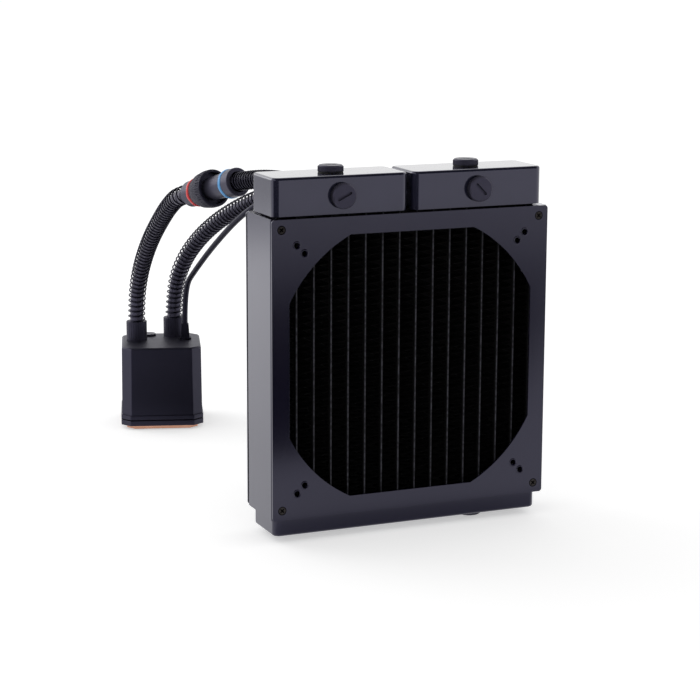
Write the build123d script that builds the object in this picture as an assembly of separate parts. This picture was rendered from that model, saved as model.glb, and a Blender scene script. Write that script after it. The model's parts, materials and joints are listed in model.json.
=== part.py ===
from build123d import *
import math
import os

# An all-in-one liquid cooler for a computer's processor.
# A square radiator for one 180 mm fan stands upright, with two tanks on top and one below.
# Two hoses join it to a pump block with a copper cold plate, and one hose holds a screw coupling.
# Millimetres, +Z up, the fan side of the radiator faces -Y, and the floor is at Z = 0.

os.makedirs("parts", exist_ok=True)

# Where the pump block stands; the radiator's place follows from the return hose's end
BLOCK_CENTRE = (-51.4, 151.888)
BLOCK_TURN = -17.5

# Radiator frame
FRAME_SIDE = 185.0
FRAME_SHEET = 1.2
RADIATOR_DEPTH = 44.0
FRAME_CORNER_RADIUS = 2.0
WINDOW_BORDER = 11.15
OUTER_HOLE_INSET = 16.0
INNER_HOLE_INSET = 21.0
HOLE_TO_WINDOW = 8.07
FAN_HOLE_DIAMETER = 3.5
FAN_HOLE_COLLAR_WALL = 0.8
FAN_HOLE_COLLAR_DEPTH = 1.6
FRAME_SCREW_INSET = 6.25
FRAME_SCREW_DIAMETER = 3.0
FRAME_SCREW_HEAD = 5.4
FRAME_SCREW_LENGTH = 4.6
FRAME_SCREW_CROSS = 3.3
SCREW_CROSS_WIDTH = 0.8
SCREW_CROSS_DEPTH = 0.7
CHANNEL_FLANGE = 10.0
CHANNEL_END_FLANGE = 15.0
CHANNEL_END_GAP = 0.8

# Radiator tanks
TANK_SIDE_INSET = 2.5
TANK_DEPTH = 36.4
TANK_WALL = 1.0
TANK_CORNER_RADIUS = 4.5
TANK_GAP = 3.4
TOP_TANK_HEIGHT = 23.5
BOTTOM_TANK_HEIGHT = 10.4
HEADER_THICKNESS = 1.5
PORT_SPACING = 91.2
PORT_DROP = 12.2
BOTTOM_PORT_X = 51.5

# Radiator core
TUBE_PITCH = 11.35
TUBE_THICKNESS = 2.0
TUBE_WALL = 0.3
CORE_DEPTH = 29.0
TUBE_REACH = 1.0
FIN_PERIOD = 4.4
FIN_THICKNESS = 0.16
FIN_DEPTH_INSET = 0.5

# Threaded ports, their plugs and rings
PORT_THREAD = 13.0
PORT_BUSH_DIAMETER = 18.0
PORT_BUSH_LENGTH = 6.0
PORT_BUSH_STEP = 1.5
PLUG_HEAD_DIAMETER = 15.4
PLUG_HEAD_HEIGHT = 4.5
PLUG_SHANK_LENGTH = 5.5
PLUG_SLOT_WIDTH = 1.8
PLUG_SLOT_DEPTH = 1.6
PLUG_SLOT_LENGTH = 10.0
PLUG_HEAD_CHAMFER = 0.7
RING_SECTION = 1.2
LEFT_FRONT_SLOT_TURN = 25.0
RIGHT_FRONT_SLOT_TURN = -45.0
LEFT_TOP_SLOT_TURN = 15.0
RIGHT_TOP_SLOT_TURN = -60.0
BOTTOM_SLOT_TURN = 35.0

# Pump block
BLOCK_WIDTH = 59.0
BLOCK_TAPER = 0.5
BLOCK_HEIGHT = 62.0
BLOCK_CHAMFER = 7.0
BLOCK_RIM = 1.2
HOUSING_WALL = 2.4
BASE_OPENING_BORDER = 8.5
SEAL_BORDER = 7.0
COLD_PLATE_BORDER = 3.0
BASE_SCREW_INSET = 8.5
CHAMBER_BORDER = 6.5
CHAMBER_FLANGE_BORDER = 4.0
LIP_OVERHANG = 0.7
BASE_FRAME_HEIGHT = 3.8
LIP_GROOVE_HEIGHT = 0.8
LIP_GROOVE_DEPTH = 1.6
LIP_HEIGHT = 3.0
SEAL_SECTION = 1.4
COLD_PLATE_CORNER = 6.0
COLD_PLATE_THICKNESS = 3.0
MICROFIN_BORDER = 7.0
MICROFIN_HEIGHT = 2.4
MICROFIN_PITCH = 2.0
MICROFIN_THICKNESS = 0.9
BASE_SCREW_DIAMETER = 3.0
BASE_SCREW_HEAD = 5.0
BASE_SCREW_CROSS = 3.1
BASE_SCREW_LENGTH = 9.0

# Pump inside the block
CHAMBER_FLOOR = 3.0
CHAMBER_HEIGHT = 10.8
CHAMBER_INLET_DIAMETER = 4.0
CHAMBER_INLET_RADIUS = 6.5
CHAMBER_INLETS = 4
CHAMBER_WALL = 2.0
JET_PLATE_THICKNESS = 1.2
JET_SLOT_WIDTH = 2.2
JET_SLOT_LENGTH = 24.0
SHAFT_DIAMETER = 3.0
SHAFT_CLEARANCE = 0.05
IMPELLER_DIAMETER = 26.0
IMPELLER_DISC = 1.6
IMPELLER_BLADE_HEIGHT = 3.2
IMPELLER_BLADES = 7
BLADE_THICKNESS = 1.0
BLADE_SWEEP = -40.0
BLADE_BOW = 1.6
BLADE_RIM_INSET = 0.4
IMPELLER_CLEARANCE = 1.2
ROTOR_DIAMETER = 13.0
ROTOR_HEIGHT = 12.0
HUB_WALL = 1.6
CAN_CLEARANCE = 0.6
CAN_WALL = 0.8
COVER_THICKNESS = 1.5
CAN_CAP = 2.0
SHAFT_SEAT = 1.2
RISER_DIAMETER = 7.5
RISER_BORE = 5.0
STATOR_DIAMETER = 29.0
STATOR_HEIGHT = 9.0
STATOR_POLES = 6
STATOR_POLE_WIDTH = 3.4
STATOR_YOKE = 2.2
COIL_WALL = 1.0
BOARD_SIDE = 26.0
BOARD_CORNER = 3.0
BOARD_THICKNESS = 1.2
BOARD_GAP = 2.0

# Hose ends on the block and on the radiator
OUTLET_PORT = (-18.2, 6.0)
INLET_PORT = (10.0, 20.0)
FILL_PORT_X = -9.0
FILL_PORT_BORDER = 8.2
CABLE_PORT = (18.4, 5.5)
FILL_PLUG_DIAMETER = 11.0
FILL_PLUG_HEIGHT = 1.6
FILL_THREAD = 8.0
FILL_BOSS_WALL = 2.0
FILL_BOSS_DEPTH = 3.4
FILL_SLOT_WIDTH = 1.4
FILL_SLOT_DEPTH = 0.8
FILL_SLOT_LENGTH = 7.0
FILL_RING_SECTION = 0.8
FILL_THREAD_PITCH = 1.25
FILL_THREAD_TURNS = 4
THREAD_CLEARANCE = 0.05
SLEEVE_DIAMETER = 15.5
SLEEVE_HEIGHT = 13.5
SLEEVE_FLUTE = 0.5
SLEEVE_FLUTE_COUNT = 24
SLEEVE_CLEARANCE = 0.1
BARB_CLEARANCE = 0.1
BARB_BORE = 5.5
BARB_LENGTH = 14.0
BARB_FOOT = 1.0
BARB_STEM_DIAMETER = 10.0
BARB_RIDGES = 3
BARB_RIDGE_DEPTH = 0.5
FITTING_FLANGE = 17.0
FITTING_FLANGE_HEIGHT = 4.0
BOOT_FLANGE = (9.2, 7.0, 1.4)
BOOT_CORNER = 1.0
BOOT_BODY = (6.8, 6.0)
BOOT_TOP = (5.4, 5.2)
BOOT_HEIGHT = 12.0
BOOT_STEM_DIAMETER = 5.0

# Hoses and cable
HOSE_DIAMETER = 10.0
HOSE_BORE = 8.0
CABLE_DIAMETER = 4.2
OUTLET_HOSE_POINTS = [
    (-66.95, 163.08, 63.0), (-66.95, 163.08, 91.0), (-67.6, 150.0, 116.0), (-70.5, 118.0, 142.5),
    (-74.8, 72.0, 168.0), (-79.0, 37.0, 182.5), (-81.89, 10.9, 190.2), (-76.59, -8.77, 195.28),
]
INLET_TANK_HOSE_POINTS = [
    (-65.96, -48.31, 205.49), (-59.3, -73.1, 211.7), (-45.6, -116.0, 212.8), (-45.6, -143.3, 212.8),
]
RETURN_HOSE_POINTS = [
    (-35.85, 167.96, 63.0), (-35.85, 167.96, 95.0), (-31.5, 152.0, 125.5), (-20.0, 117.0, 155.0),
    (-4.0, 66.0, 179.0), (11.0, 20.0, 190.0), (28.0, -32.0, 197.0), (41.0, -80.0, 205.0),
    (45.6, -113.0, 212.8), (45.6, -143.3, 212.8),
]
PUMP_CABLE_POINTS = [
    (-32.2, 151.6, 74.0), (-32.2, 151.6, 102.0), (-29.6, 133.0, 118.0), (-24.5, 103.5, 141.5),
    (-18.5, 66.0, 166.5), (-9.0, 42.0, 184.0), (1.0, 30.0, 202.0), (15.0, 20.0, 203.5),
    (24.0, 14.0, 188.0), (27.0, 12.0, 153.0), (28.0, 13.0, 115.0), (28.5, 12.0, 75.0),
    (30.0, 15.0, 40.0), (34.0, 22.0, 14.0), (44.0, 36.0, 2.1), (58.0, 48.0, 2.3),
    (78.0, 52.0, 2.9), (96.0, 50.0, 2.9),
]

# Screw coupling in the outlet hose
COUPLING_END = (-64.2, -54.87, 207.18)
COUPLING_DIRECTION = (0.252, -0.937, 0.242)
GRIP_DIAMETER = 17.6
GRIP_LENGTH = 8.0
GRIP_RECESS_DIAMETER = 13.6
GRIP_RECESS_DEPTH = 7.0
BLUE_GRIP_DIAMETER = 19.0
MARK_RING_WIDTH = 1.6
MARK_RING_PROUD = 0.25
MARK_RING_DEPTH = 1.0
COLLAR_LENGTH = 18.5
COLLAR_SMALL_DIAMETER = 19.0
COLLAR_LARGE_DIAMETER = 25.0
COLLAR_MOUTH_WALL = 1.8
COLLAR_MOUTH_DEPTH = 8.4
COLLAR_SHOULDER = 13.0
COLLAR_EDGE = 0.6
COLLAR_KNURLS = 40
COLLAR_KNURL_DEPTH = 0.3
SOCKET_BARREL_DIAMETER = 16.0
SOCKET_BARREL_LENGTH = 11.0
COLLAR_CLEARANCE = 0.08
PLUG_BODY_GAP = 18.5
PLUG_BODY_SMALL_DIAMETER = 15.0
PLUG_BODY_LARGE_DIAMETER = 17.0
PLUG_NOSE_DIAMETER = 11.0
PLUG_NOSE_LENGTH = 12.0
COUPLING_BORE = 6.0
NOSE_CLEARANCE = 0.1
CLIP_WIDTH = 1.0
CLIP_PROUD = 0.7
VALVE_DIAMETER = 4.4
VALVE_LENGTH = 9.0

# Cable's plug
CONNECTOR_WIDTH = 10.2
CONNECTOR_LENGTH = 14.0
CONNECTOR_HEIGHT = 5.8
CONTACT_PITCH = 2.54
CONTACT_SIZE = 1.9
CONTACT_WALL = 0.3
CONTACT_LENGTH = 9.8
CONTACT_COUNT = 3
CONNECTOR_RIB = 0.6

# Places and sizes worked out from those above
BASE_OPENING = BLOCK_WIDTH - 2 * BASE_OPENING_BORDER
SEAL_DIAMETER = BLOCK_WIDTH - 2 * SEAL_BORDER
MICROFIN_FIELD = BASE_OPENING - 2 * MICROFIN_BORDER
COLD_PLATE_SIDE = BLOCK_WIDTH - 2 * COLD_PLATE_BORDER
BASE_SCREW_SPACING = BLOCK_WIDTH - 2 * BASE_SCREW_INSET
CHAMBER_DIAMETER = BLOCK_WIDTH - 2 * CHAMBER_BORDER
CHAMBER_FLANGE = BLOCK_WIDTH - 2 * CHAMBER_FLANGE_BORDER
FILL_PORT = (FILL_PORT_X, BLOCK_WIDTH / 2 - FILL_PORT_BORDER)
OUTER_HOLE_SPACING = FRAME_SIDE - 2 * OUTER_HOLE_INSET
INNER_HOLE_SPACING = FRAME_SIDE - 2 * INNER_HOLE_INSET
FRAME_SCREW_SPACING = FRAME_SIDE - 2 * FRAME_SCREW_INSET
WINDOW_SIDE = FRAME_SIDE - 2 * WINDOW_BORDER
WINDOW_RADIUS = INNER_HOLE_SPACING / math.sqrt(2) - FAN_HOLE_DIAMETER / 2 - HOLE_TO_WINDOW
TANK_WIDTH = FRAME_SIDE - 2 * TANK_SIDE_INSET
TUBE_COUNT = math.floor((FRAME_SIDE - 2 * FRAME_SHEET) / TUBE_PITCH)
TANK_BACK_Y = RETURN_HOSE_POINTS[-1][1] - FITTING_FLANGE_HEIGHT
TANK_FRONT_Y = TANK_BACK_Y - TANK_DEPTH
RADIATOR_CENTRE_Y = (TANK_FRONT_Y + TANK_BACK_Y) / 2
RADIATOR_FRONT_Y = RADIATOR_CENTRE_Y - RADIATOR_DEPTH / 2
RADIATOR_BACK_Y = RADIATOR_CENTRE_Y + RADIATOR_DEPTH / 2
FLOOR_TO_TANK = PLUG_HEAD_HEIGHT
BOTTOM_TANK_TOP = FLOOR_TO_TANK + BOTTOM_TANK_HEIGHT
FRAME_BOTTOM = BOTTOM_TANK_TOP + CHANNEL_END_GAP
FRAME_TOP = FRAME_BOTTOM + FRAME_SIDE
FRAME_CENTRE_Z = (FRAME_BOTTOM + FRAME_TOP) / 2
TOP_TANK_BOTTOM = FRAME_TOP + CHANNEL_END_GAP
RADIATOR_TOP = TOP_TANK_BOTTOM + TOP_TANK_HEIGHT
PORT_Z = RADIATOR_TOP - PORT_DROP
LEFT, RIGHT = -1, 1
FRONT, BACK = -1, 1


def save(node, shape):
    """Write one sub-part as its own STEP file."""
    export_step(shape, f"parts/{node}.step")


def group(solids):
    """Several separate solids kept as one node."""
    return Compound(children=list(solids))


def box(x_from, x_to, y_from, y_to, z_from, z_to):
    """A box between two corners."""
    size = (x_to - x_from, y_to - y_from, z_to - z_from)
    return Pos(x_from, y_from, z_from) * Box(*size, align=(Align.MIN, Align.MIN, Align.MIN))


def rod(diameter, start, end):
    """A cylinder along Z between two heights."""
    standing = (Align.CENTER, Align.CENTER, Align.MIN)
    return Pos(0, 0, start) * Cylinder(diameter / 2, end - start, align=standing)


def ring(outer, inner, start, end):
    """A plain ring along Z between two heights."""
    return rod(outer, start, end) - rod(inner, start, end)


def turned(outline):
    """A solid turned about Z from its half section, given as (radius, height) points."""
    half = make_face(Polyline(*[(radius, 0, height) for radius, height in outline], close=True))
    return revolve(half, Axis.Z)


def cut_square(side, corner, height):
    """A square prism with its four corners cut off."""
    half = side / 2
    flat = half - corner
    points = [(-flat, -half), (flat, -half), (half, -flat), (half, flat),
              (flat, half), (-flat, half), (-half, flat), (-half, -flat)]
    return extrude(make_face(Polyline(*points, close=True)), height)


def facing(point, outward, spin=0.0):
    """A place at a point whose own Z looks outward."""
    upright = abs(outward[2]) > 0.9
    across = (1, 0, 0) if upright or abs(outward[1]) > 0.3 else (0, 1, 0)
    return Plane(origin=point, x_dir=across, z_dir=outward).location * Rot(0, 0, spin)


def on_block(x=0.0, y=0.0, z=0.0):
    """A place in the pump block's own frame, which is turned on the floor."""
    return Pos(BLOCK_CENTRE[0], BLOCK_CENTRE[1], 0) * Rot(0, 0, BLOCK_TURN) * Pos(x, y, z)


def countersunk(diameter, head, length):
    """A countersunk screw's form, its face at Z = 0 and its shank below."""
    cone = (head - diameter) / 2
    return turned([(0, 0), (head / 2, 0), (diameter / 2, -cone), (diameter / 2, -length), (0, -length)])


def cross_recess(length):
    """The cross cut in a screw's head, centred on its face."""
    bar = Box(length, SCREW_CROSS_WIDTH, 2 * SCREW_CROSS_DEPTH)
    return bar + Rot(0, 0, 90) * bar


# Radiator frame: two square panels with a round-cornered window, and two folded side channels

def frame_corners(spacing):
    """The four corners of a square hole pattern."""
    half = spacing / 2
    return [(-half, -half), (half, -half), (half, half), (-half, half)]


def frame_panel():
    """One panel, its outer face at Z = 0 and the radiator's core below."""
    window = Circle(WINDOW_RADIUS) & Rectangle(WINDOW_SIDE, WINDOW_SIDE)
    outline = RectangleRounded(FRAME_SIDE, FRAME_SIDE, FRAME_CORNER_RADIUS) - window
    panel = extrude(outline, -FRAME_SHEET)
    for x, y in frame_corners(OUTER_HOLE_SPACING) + frame_corners(INNER_HOLE_SPACING):
        collar = FAN_HOLE_DIAMETER + 2 * FAN_HOLE_COLLAR_WALL
        depth = FRAME_SHEET + FAN_HOLE_COLLAR_DEPTH
        panel += Pos(x, y) * rod(collar, -depth, -FRAME_SHEET)
        panel -= Pos(x, y) * rod(FAN_HOLE_DIAMETER, -depth, 0)
    for x, y in frame_corners(FRAME_SCREW_SPACING):
        panel -= Pos(x, y) * countersunk(FRAME_SCREW_DIAMETER, FRAME_SCREW_HEAD, FRAME_SCREW_LENGTH)
    return panel


def frame_screw():
    """A countersunk screw with a cross recess."""
    screw = countersunk(FRAME_SCREW_DIAMETER, FRAME_SCREW_HEAD, FRAME_SCREW_LENGTH)
    return screw - Rot(0, 0, 45) * cross_recess(FRAME_SCREW_CROSS)


FRONT_PANEL = facing((0, RADIATOR_FRONT_Y, FRAME_CENTRE_Z), (0, -1, 0))
BACK_PANEL = Plane(origin=(0, RADIATOR_BACK_Y, FRAME_CENTRE_Z), x_dir=(-1, 0, 0), z_dir=(0, 1, 0)).location


def screw_places():
    """The place of each screw that holds a panel to the side channels."""
    corners = frame_corners(FRAME_SCREW_SPACING)
    return [place * Pos(x, y) for place in (FRONT_PANEL, BACK_PANEL) for x, y in corners]


def side_channel(side):
    """A folded channel that closes one side of the core, its flanges turned inwards."""
    edge = FRAME_SIDE / 2
    width = RADIATOR_DEPTH - 2 * FRAME_SHEET
    inner_width = width - 2 * FRAME_SHEET
    outer = RectangleRounded(2 * edge, width, FRAME_CORNER_RADIUS)
    inner = RectangleRounded(2 * (edge - FRAME_SHEET), inner_width, FRAME_CORNER_RADIUS - FRAME_SHEET)
    middle = Pos(0, RADIATOR_CENTRE_Y, FRAME_BOTTOM)
    channel = middle * extrude(outer - inner, FRAME_SIDE)
    ends = [(FRAME_BOTTOM, FRAME_BOTTOM + FRAME_SHEET), (FRAME_TOP - FRAME_SHEET, FRAME_TOP)]
    whole = middle * extrude(outer, FRAME_SIDE)
    for z_from, z_to in ends:
        channel += whole & box(-edge, edge, RADIATOR_FRONT_Y, RADIATOR_BACK_Y, z_from, z_to)
    sides = [edge - CHANNEL_FLANGE, edge - CHANNEL_END_FLANGE]
    keep = box(sides[0], edge, RADIATOR_FRONT_Y, RADIATOR_BACK_Y, FRAME_BOTTOM, FRAME_TOP)
    for z_from, z_to in ends:
        keep += box(sides[1], edge, RADIATOR_FRONT_Y, RADIATOR_BACK_Y, z_from, z_to)
    if side == LEFT:
        keep = mirror(keep, about=Plane.YZ)
    channel &= keep
    screw = countersunk(FRAME_SCREW_DIAMETER, FRAME_SCREW_HEAD, FRAME_SCREW_LENGTH)
    for place in screw_places():
        channel -= place * screw
    return channel - group(tube_forms())


# Radiator core: flat tubes with folded fins between them

def tube_positions():
    """The tubes' places along X."""
    return [(index - (TUBE_COUNT - 1) / 2) * TUBE_PITCH for index in range(TUBE_COUNT)]


def flat_tube(thickness, depth):
    """One flat tube's outer or inner form, with round edges."""
    start = BOTTOM_TANK_TOP - HEADER_THICKNESS - TUBE_REACH
    end = TOP_TANK_BOTTOM + HEADER_THICKNESS + TUBE_REACH
    form = SlotOverall(depth, thickness, rotation=90)
    return Pos(0, RADIATOR_CENTRE_Y, start) * extrude(form, end - start)


def tube_forms():
    """The solid outer forms of all tubes, used to cut their slots."""
    form = flat_tube(TUBE_THICKNESS, CORE_DEPTH)
    return [Pos(x, 0, 0) * form for x in tube_positions()]


def core_tubes():
    """All flat tubes, each open at both ends."""
    bore = flat_tube(TUBE_THICKNESS - 2 * TUBE_WALL, CORE_DEPTH - 2 * TUBE_WALL)
    open_tube = flat_tube(TUBE_THICKNESS, CORE_DEPTH) - bore
    return group([Pos(x, 0, 0) * open_tube for x in tube_positions()])


def fin_strip(x_from, x_to):
    """One folded fin that runs to and fro between two faces, all the way up the core."""
    bottom = FRAME_BOTTOM + FRAME_SHEET
    rise = FIN_PERIOD / 2
    tip = FIN_THICKNESS * (x_to - x_from) / (rise + FIN_THICKNESS)
    left_side, right_side = [], []
    for index in range(math.floor((FRAME_SIDE - 2 * FRAME_SHEET) / rise) + 1):
        left = x_from if index % 2 == 0 else x_to - tip
        left_side.append((left, bottom + index * rise))
        right_side.append((left + tip, bottom + index * rise))
    outline = Polyline(*left_side, *reversed(right_side), close=True)
    strip = extrude(make_face(outline), CORE_DEPTH - 2 * FIN_DEPTH_INSET)
    return Pos(0, RADIATOR_CENTRE_Y + CORE_DEPTH / 2 - FIN_DEPTH_INSET, 0) * Rot(90, 0, 0) * strip


def core_fins():
    """A folded fin in each gap between tubes, and one beside each side channel."""
    web = FRAME_SIDE / 2 - FRAME_SHEET
    faces = [-web]
    for x in tube_positions():
        faces += [x - TUBE_THICKNESS / 2, x + TUBE_THICKNESS / 2]
    faces.append(web)
    return group([fin_strip(faces[index], faces[index + 1]) for index in range(0, len(faces), 2)])


# Tanks: shells with rounded edges, each closed by a header plate that holds the tubes

TANK_SPANS = {
    "inlet": (-TANK_WIDTH / 2, -TANK_GAP / 2),
    "outlet": (TANK_GAP / 2, TANK_WIDTH / 2),
    "return": (-TANK_WIDTH / 2, TANK_WIDTH / 2),
}
INLET_X = -PORT_SPACING / 2
OUTLET_X = PORT_SPACING / 2
INLET_BACK = facing((INLET_X, TANK_BACK_Y, PORT_Z), (0, 1, 0))
OUTLET_BACK = facing((OUTLET_X, TANK_BACK_Y, PORT_Z), (0, 1, 0))
PLUGGED_PORTS = [
    facing((INLET_X, TANK_FRONT_Y, PORT_Z), (0, -1, 0), LEFT_FRONT_SLOT_TURN),
    facing((OUTLET_X, TANK_FRONT_Y, PORT_Z), (0, -1, 0), RIGHT_FRONT_SLOT_TURN),
    facing((INLET_X, RADIATOR_CENTRE_Y, RADIATOR_TOP), (0, 0, 1), LEFT_TOP_SLOT_TURN),
    facing((OUTLET_X, RADIATOR_CENTRE_Y, RADIATOR_TOP), (0, 0, 1), RIGHT_TOP_SLOT_TURN),
    facing((BOTTOM_PORT_X, RADIATOR_CENTRE_Y, FLOOR_TO_TANK), (0, 0, -1), BOTTOM_SLOT_TURN),
]
ALL_PORTS = PLUGGED_PORTS + [INLET_BACK, OUTLET_BACK]


def tank_block(name, inset, radius):
    """A tank's outer form, or its inner one at an inset, with its open side flat."""
    x_from, x_to = TANK_SPANS[name]
    if name == "return":
        open_z, closed_z = BOTTOM_TANK_TOP, FLOOR_TO_TANK + inset
    else:
        open_z, closed_z = TOP_TANK_BOTTOM, RADIATOR_TOP - inset
    low, high = min(open_z, closed_z), max(open_z, closed_z)
    block = box(x_from + inset, x_to - inset, TANK_FRONT_Y + inset, TANK_BACK_Y - inset, low, high)
    block = fillet(block.edges().filter_by(Axis.Z), radius)
    rim = block.faces().sort_by(Axis.Z)[-1 if closed_z > open_z else 0]
    return fillet(rim.edges(), radius * 0.35)


def tank(name):
    """One tank's shell, with a hole for each threaded bush."""
    shell = tank_block(name, 0, TANK_CORNER_RADIUS)
    shell -= tank_block(name, TANK_WALL, TANK_CORNER_RADIUS - TANK_WALL)
    neck = PORT_BUSH_DIAMETER - 2 * PORT_BUSH_STEP
    for place in ALL_PORTS:
        shell -= place * rod(neck, -TANK_WALL, 0)
    return shell


def header(name):
    """The plate that closes a tank's open side, with a slot for each tube."""
    inner = tank_block(name, TANK_WALL, TANK_CORNER_RADIUS - TANK_WALL)
    if name == "return":
        z_from, z_to = BOTTOM_TANK_TOP - HEADER_THICKNESS, BOTTOM_TANK_TOP
    else:
        z_from, z_to = TOP_TANK_BOTTOM, TOP_TANK_BOTTOM + HEADER_THICKNESS
    plate = inner & box(-TANK_WIDTH, TANK_WIDTH, TANK_FRONT_Y, TANK_BACK_Y, z_from, z_to)
    return plate - group(tube_forms())


def port_bush():
    """A threaded bush that sits in the tank's wall, its face flush with the tank."""
    bore = PORT_THREAD / 2
    outer = PORT_BUSH_DIAMETER / 2
    neck = outer - PORT_BUSH_STEP
    end = -TANK_WALL - PORT_BUSH_LENGTH
    return turned([(bore, 0), (neck, 0), (neck, -TANK_WALL), (outer, -TANK_WALL), (outer, end), (bore, end)])


def ring_groove(thread, section):
    """The recess under a head that holds a sealing ring."""
    return ring(thread + 2 * section, thread, 0, section)


def tank_plug():
    """A slotted screw plug, its head above Z = 0 and its shank below."""
    head = rod(PLUG_HEAD_DIAMETER, 0, PLUG_HEAD_HEIGHT)
    head = chamfer(head.faces().sort_by(Axis.Z)[-1].edges(), PLUG_HEAD_CHAMFER)
    head -= ring_groove(PORT_THREAD, RING_SECTION)
    slot = SlotOverall(PLUG_SLOT_LENGTH, PLUG_SLOT_WIDTH)
    head -= Pos(0, 0, PLUG_HEAD_HEIGHT) * extrude(slot, -PLUG_SLOT_DEPTH)
    return head + rod(PORT_THREAD - 2 * THREAD_CLEARANCE, -PLUG_SHANK_LENGTH, RING_SECTION)


def radiator_fitting():
    """A hose fitting for a tank's port: shank, flange and barb."""
    flange = rod(FITTING_FLANGE, 0, FITTING_FLANGE_HEIGHT)
    flange = chamfer(flange.faces().sort_by(Axis.Z)[-1].edges(), PLUG_HEAD_CHAMFER)
    flange -= ring_groove(PORT_THREAD, RING_SECTION)
    shank = rod(PORT_THREAD - 2 * THREAD_CLEARANCE, -PLUG_SHANK_LENGTH, RING_SECTION)
    barb = Pos(0, 0, FITTING_FLANGE_HEIGHT) * hose_barb(BARB_LENGTH)
    return flange + shank + barb - rod(BARB_BORE, -PLUG_SHANK_LENGTH, FITTING_FLANGE_HEIGHT + BARB_LENGTH)


def hose_barb(length):
    """The ridged spigot that a hose is pushed over."""
    outer = HOSE_BORE / 2 - BARB_CLEARANCE
    inner = outer - BARB_RIDGE_DEPTH
    step = length / BARB_RIDGES
    outline = [(0, 0)]
    for index in range(BARB_RIDGES):
        outline += [(outer, index * step), (inner, (index + 1) * step)]
    outline.append((0, length))
    return turned(outline)


def hose_sleeve():
    """A fluted sleeve that clamps the hose on its barb."""
    wall = (SLEEVE_DIAMETER - HOSE_DIAMETER) / 2 - SLEEVE_CLEARANCE
    sleeve = rod(SLEEVE_DIAMETER, 0, SLEEVE_HEIGHT)
    edges = sleeve.faces().sort_by(Axis.Z)[-1].edges()
    sleeve = fillet(edges, min(SLEEVE_FLUTE, wall / 3))
    for index in range(SLEEVE_FLUTE_COUNT):
        turn = Rot(0, 0, index * 360 / SLEEVE_FLUTE_COUNT)
        flute = rod(SLEEVE_FLUTE * 1.6, SLEEVE_FLUTE * 2, SLEEVE_HEIGHT)
        sleeve -= turn * Pos(SLEEVE_DIAMETER / 2 + SLEEVE_FLUTE * 0.5, 0, 0) * flute
    return sleeve - rod(HOSE_DIAMETER + 2 * SLEEVE_CLEARANCE, 0, SLEEVE_HEIGHT)


# Pump block, built upright about its own centre and turned as a whole afterwards

BASE_TOP = COLD_PLATE_THICKNESS + BASE_FRAME_HEIGHT
HOUSING_BOTTOM = BASE_TOP + LIP_GROOVE_HEIGHT
HOUSING_INNER_TOP = BLOCK_HEIGHT - HOUSING_WALL
CHAMBER_TOP = BASE_TOP + CHAMBER_HEIGHT
CHAMBER_FLOOR_TOP = BASE_TOP + CHAMBER_FLOOR
BLADE_BOTTOM = CHAMBER_FLOOR_TOP + IMPELLER_CLEARANCE
DISC_BOTTOM = BLADE_BOTTOM + IMPELLER_BLADE_HEIGHT
DISC_TOP = DISC_BOTTOM + IMPELLER_DISC
MAGNET_TOP = DISC_TOP + ROTOR_HEIGHT
CAN_CEILING = MAGNET_TOP + IMPELLER_CLEARANCE
CAN_TOP = CAN_CEILING + CAN_CAP
COVER_TOP = CHAMBER_TOP + COVER_THICKNESS
HUB_DIAMETER = SHAFT_DIAMETER + 2 * (SHAFT_CLEARANCE + HUB_WALL)
CAN_BORE = ROTOR_DIAMETER + 2 * CAN_CLEARANCE
CAN_DIAMETER = CAN_BORE + 2 * CAN_WALL
STATOR_BOTTOM = COVER_TOP + 2 * COIL_WALL
BOARD_BOTTOM = CAN_TOP + BOARD_GAP


def cold_plate():
    """The copper plate that lies on the processor, with fine fins on its wet side."""
    plate = cut_square(COLD_PLATE_SIDE, COLD_PLATE_CORNER, COLD_PLATE_THICKNESS)
    count = math.floor((MICROFIN_FIELD - MICROFIN_THICKNESS) / MICROFIN_PITCH) + 1
    for index in range(count):
        x = (index - (count - 1) / 2) * MICROFIN_PITCH
        edge = MICROFIN_THICKNESS / 2
        half = MICROFIN_FIELD / 2
        top = COLD_PLATE_THICKNESS + MICROFIN_HEIGHT
        plate += box(x - edge, x + edge, -half, half, COLD_PLATE_THICKNESS / 2, top)
    return plate - base_screw_forms()


def base_screw_forms():
    """The forms of the screws that come up through the cold plate."""
    form = Rot(180, 0, 0) * countersunk(BASE_SCREW_DIAMETER, BASE_SCREW_HEAD, BASE_SCREW_LENGTH)
    return group([Pos(x, y) * form for x, y in frame_corners(BASE_SCREW_SPACING)])


def base_screws():
    """Countersunk screws, their heads flush with the plate's lower face."""
    form = Rot(180, 0, 0) * countersunk(BASE_SCREW_DIAMETER, BASE_SCREW_HEAD, BASE_SCREW_LENGTH)
    screw = form - cross_recess(BASE_SCREW_CROSS)
    return group([Pos(x, y) * screw for x, y in frame_corners(BASE_SCREW_SPACING)])


def seal_form():
    """The sealing ring between the cold plate and the base frame."""
    outer = SEAL_DIAMETER + SEAL_SECTION
    inner = SEAL_DIAMETER - SEAL_SECTION
    return ring(outer, inner, COLD_PLATE_THICKNESS, COLD_PLATE_THICKNESS + SEAL_SECTION)


def base_frame():
    """The flange round the block's foot."""
    side = BLOCK_WIDTH + 2 * (BLOCK_TAPER + LIP_OVERHANG)
    frame = cut_square(side, BLOCK_CHAMFER, BASE_FRAME_HEIGHT)
    frame = fillet(frame.edges().filter_by(Axis.Z), BLOCK_RIM)
    frame = Pos(0, 0, COLD_PLATE_THICKNESS) * frame
    return frame - rod(BASE_OPENING, COLD_PLATE_THICKNESS, BASE_TOP) - seal_form() - base_screw_forms()


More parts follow.
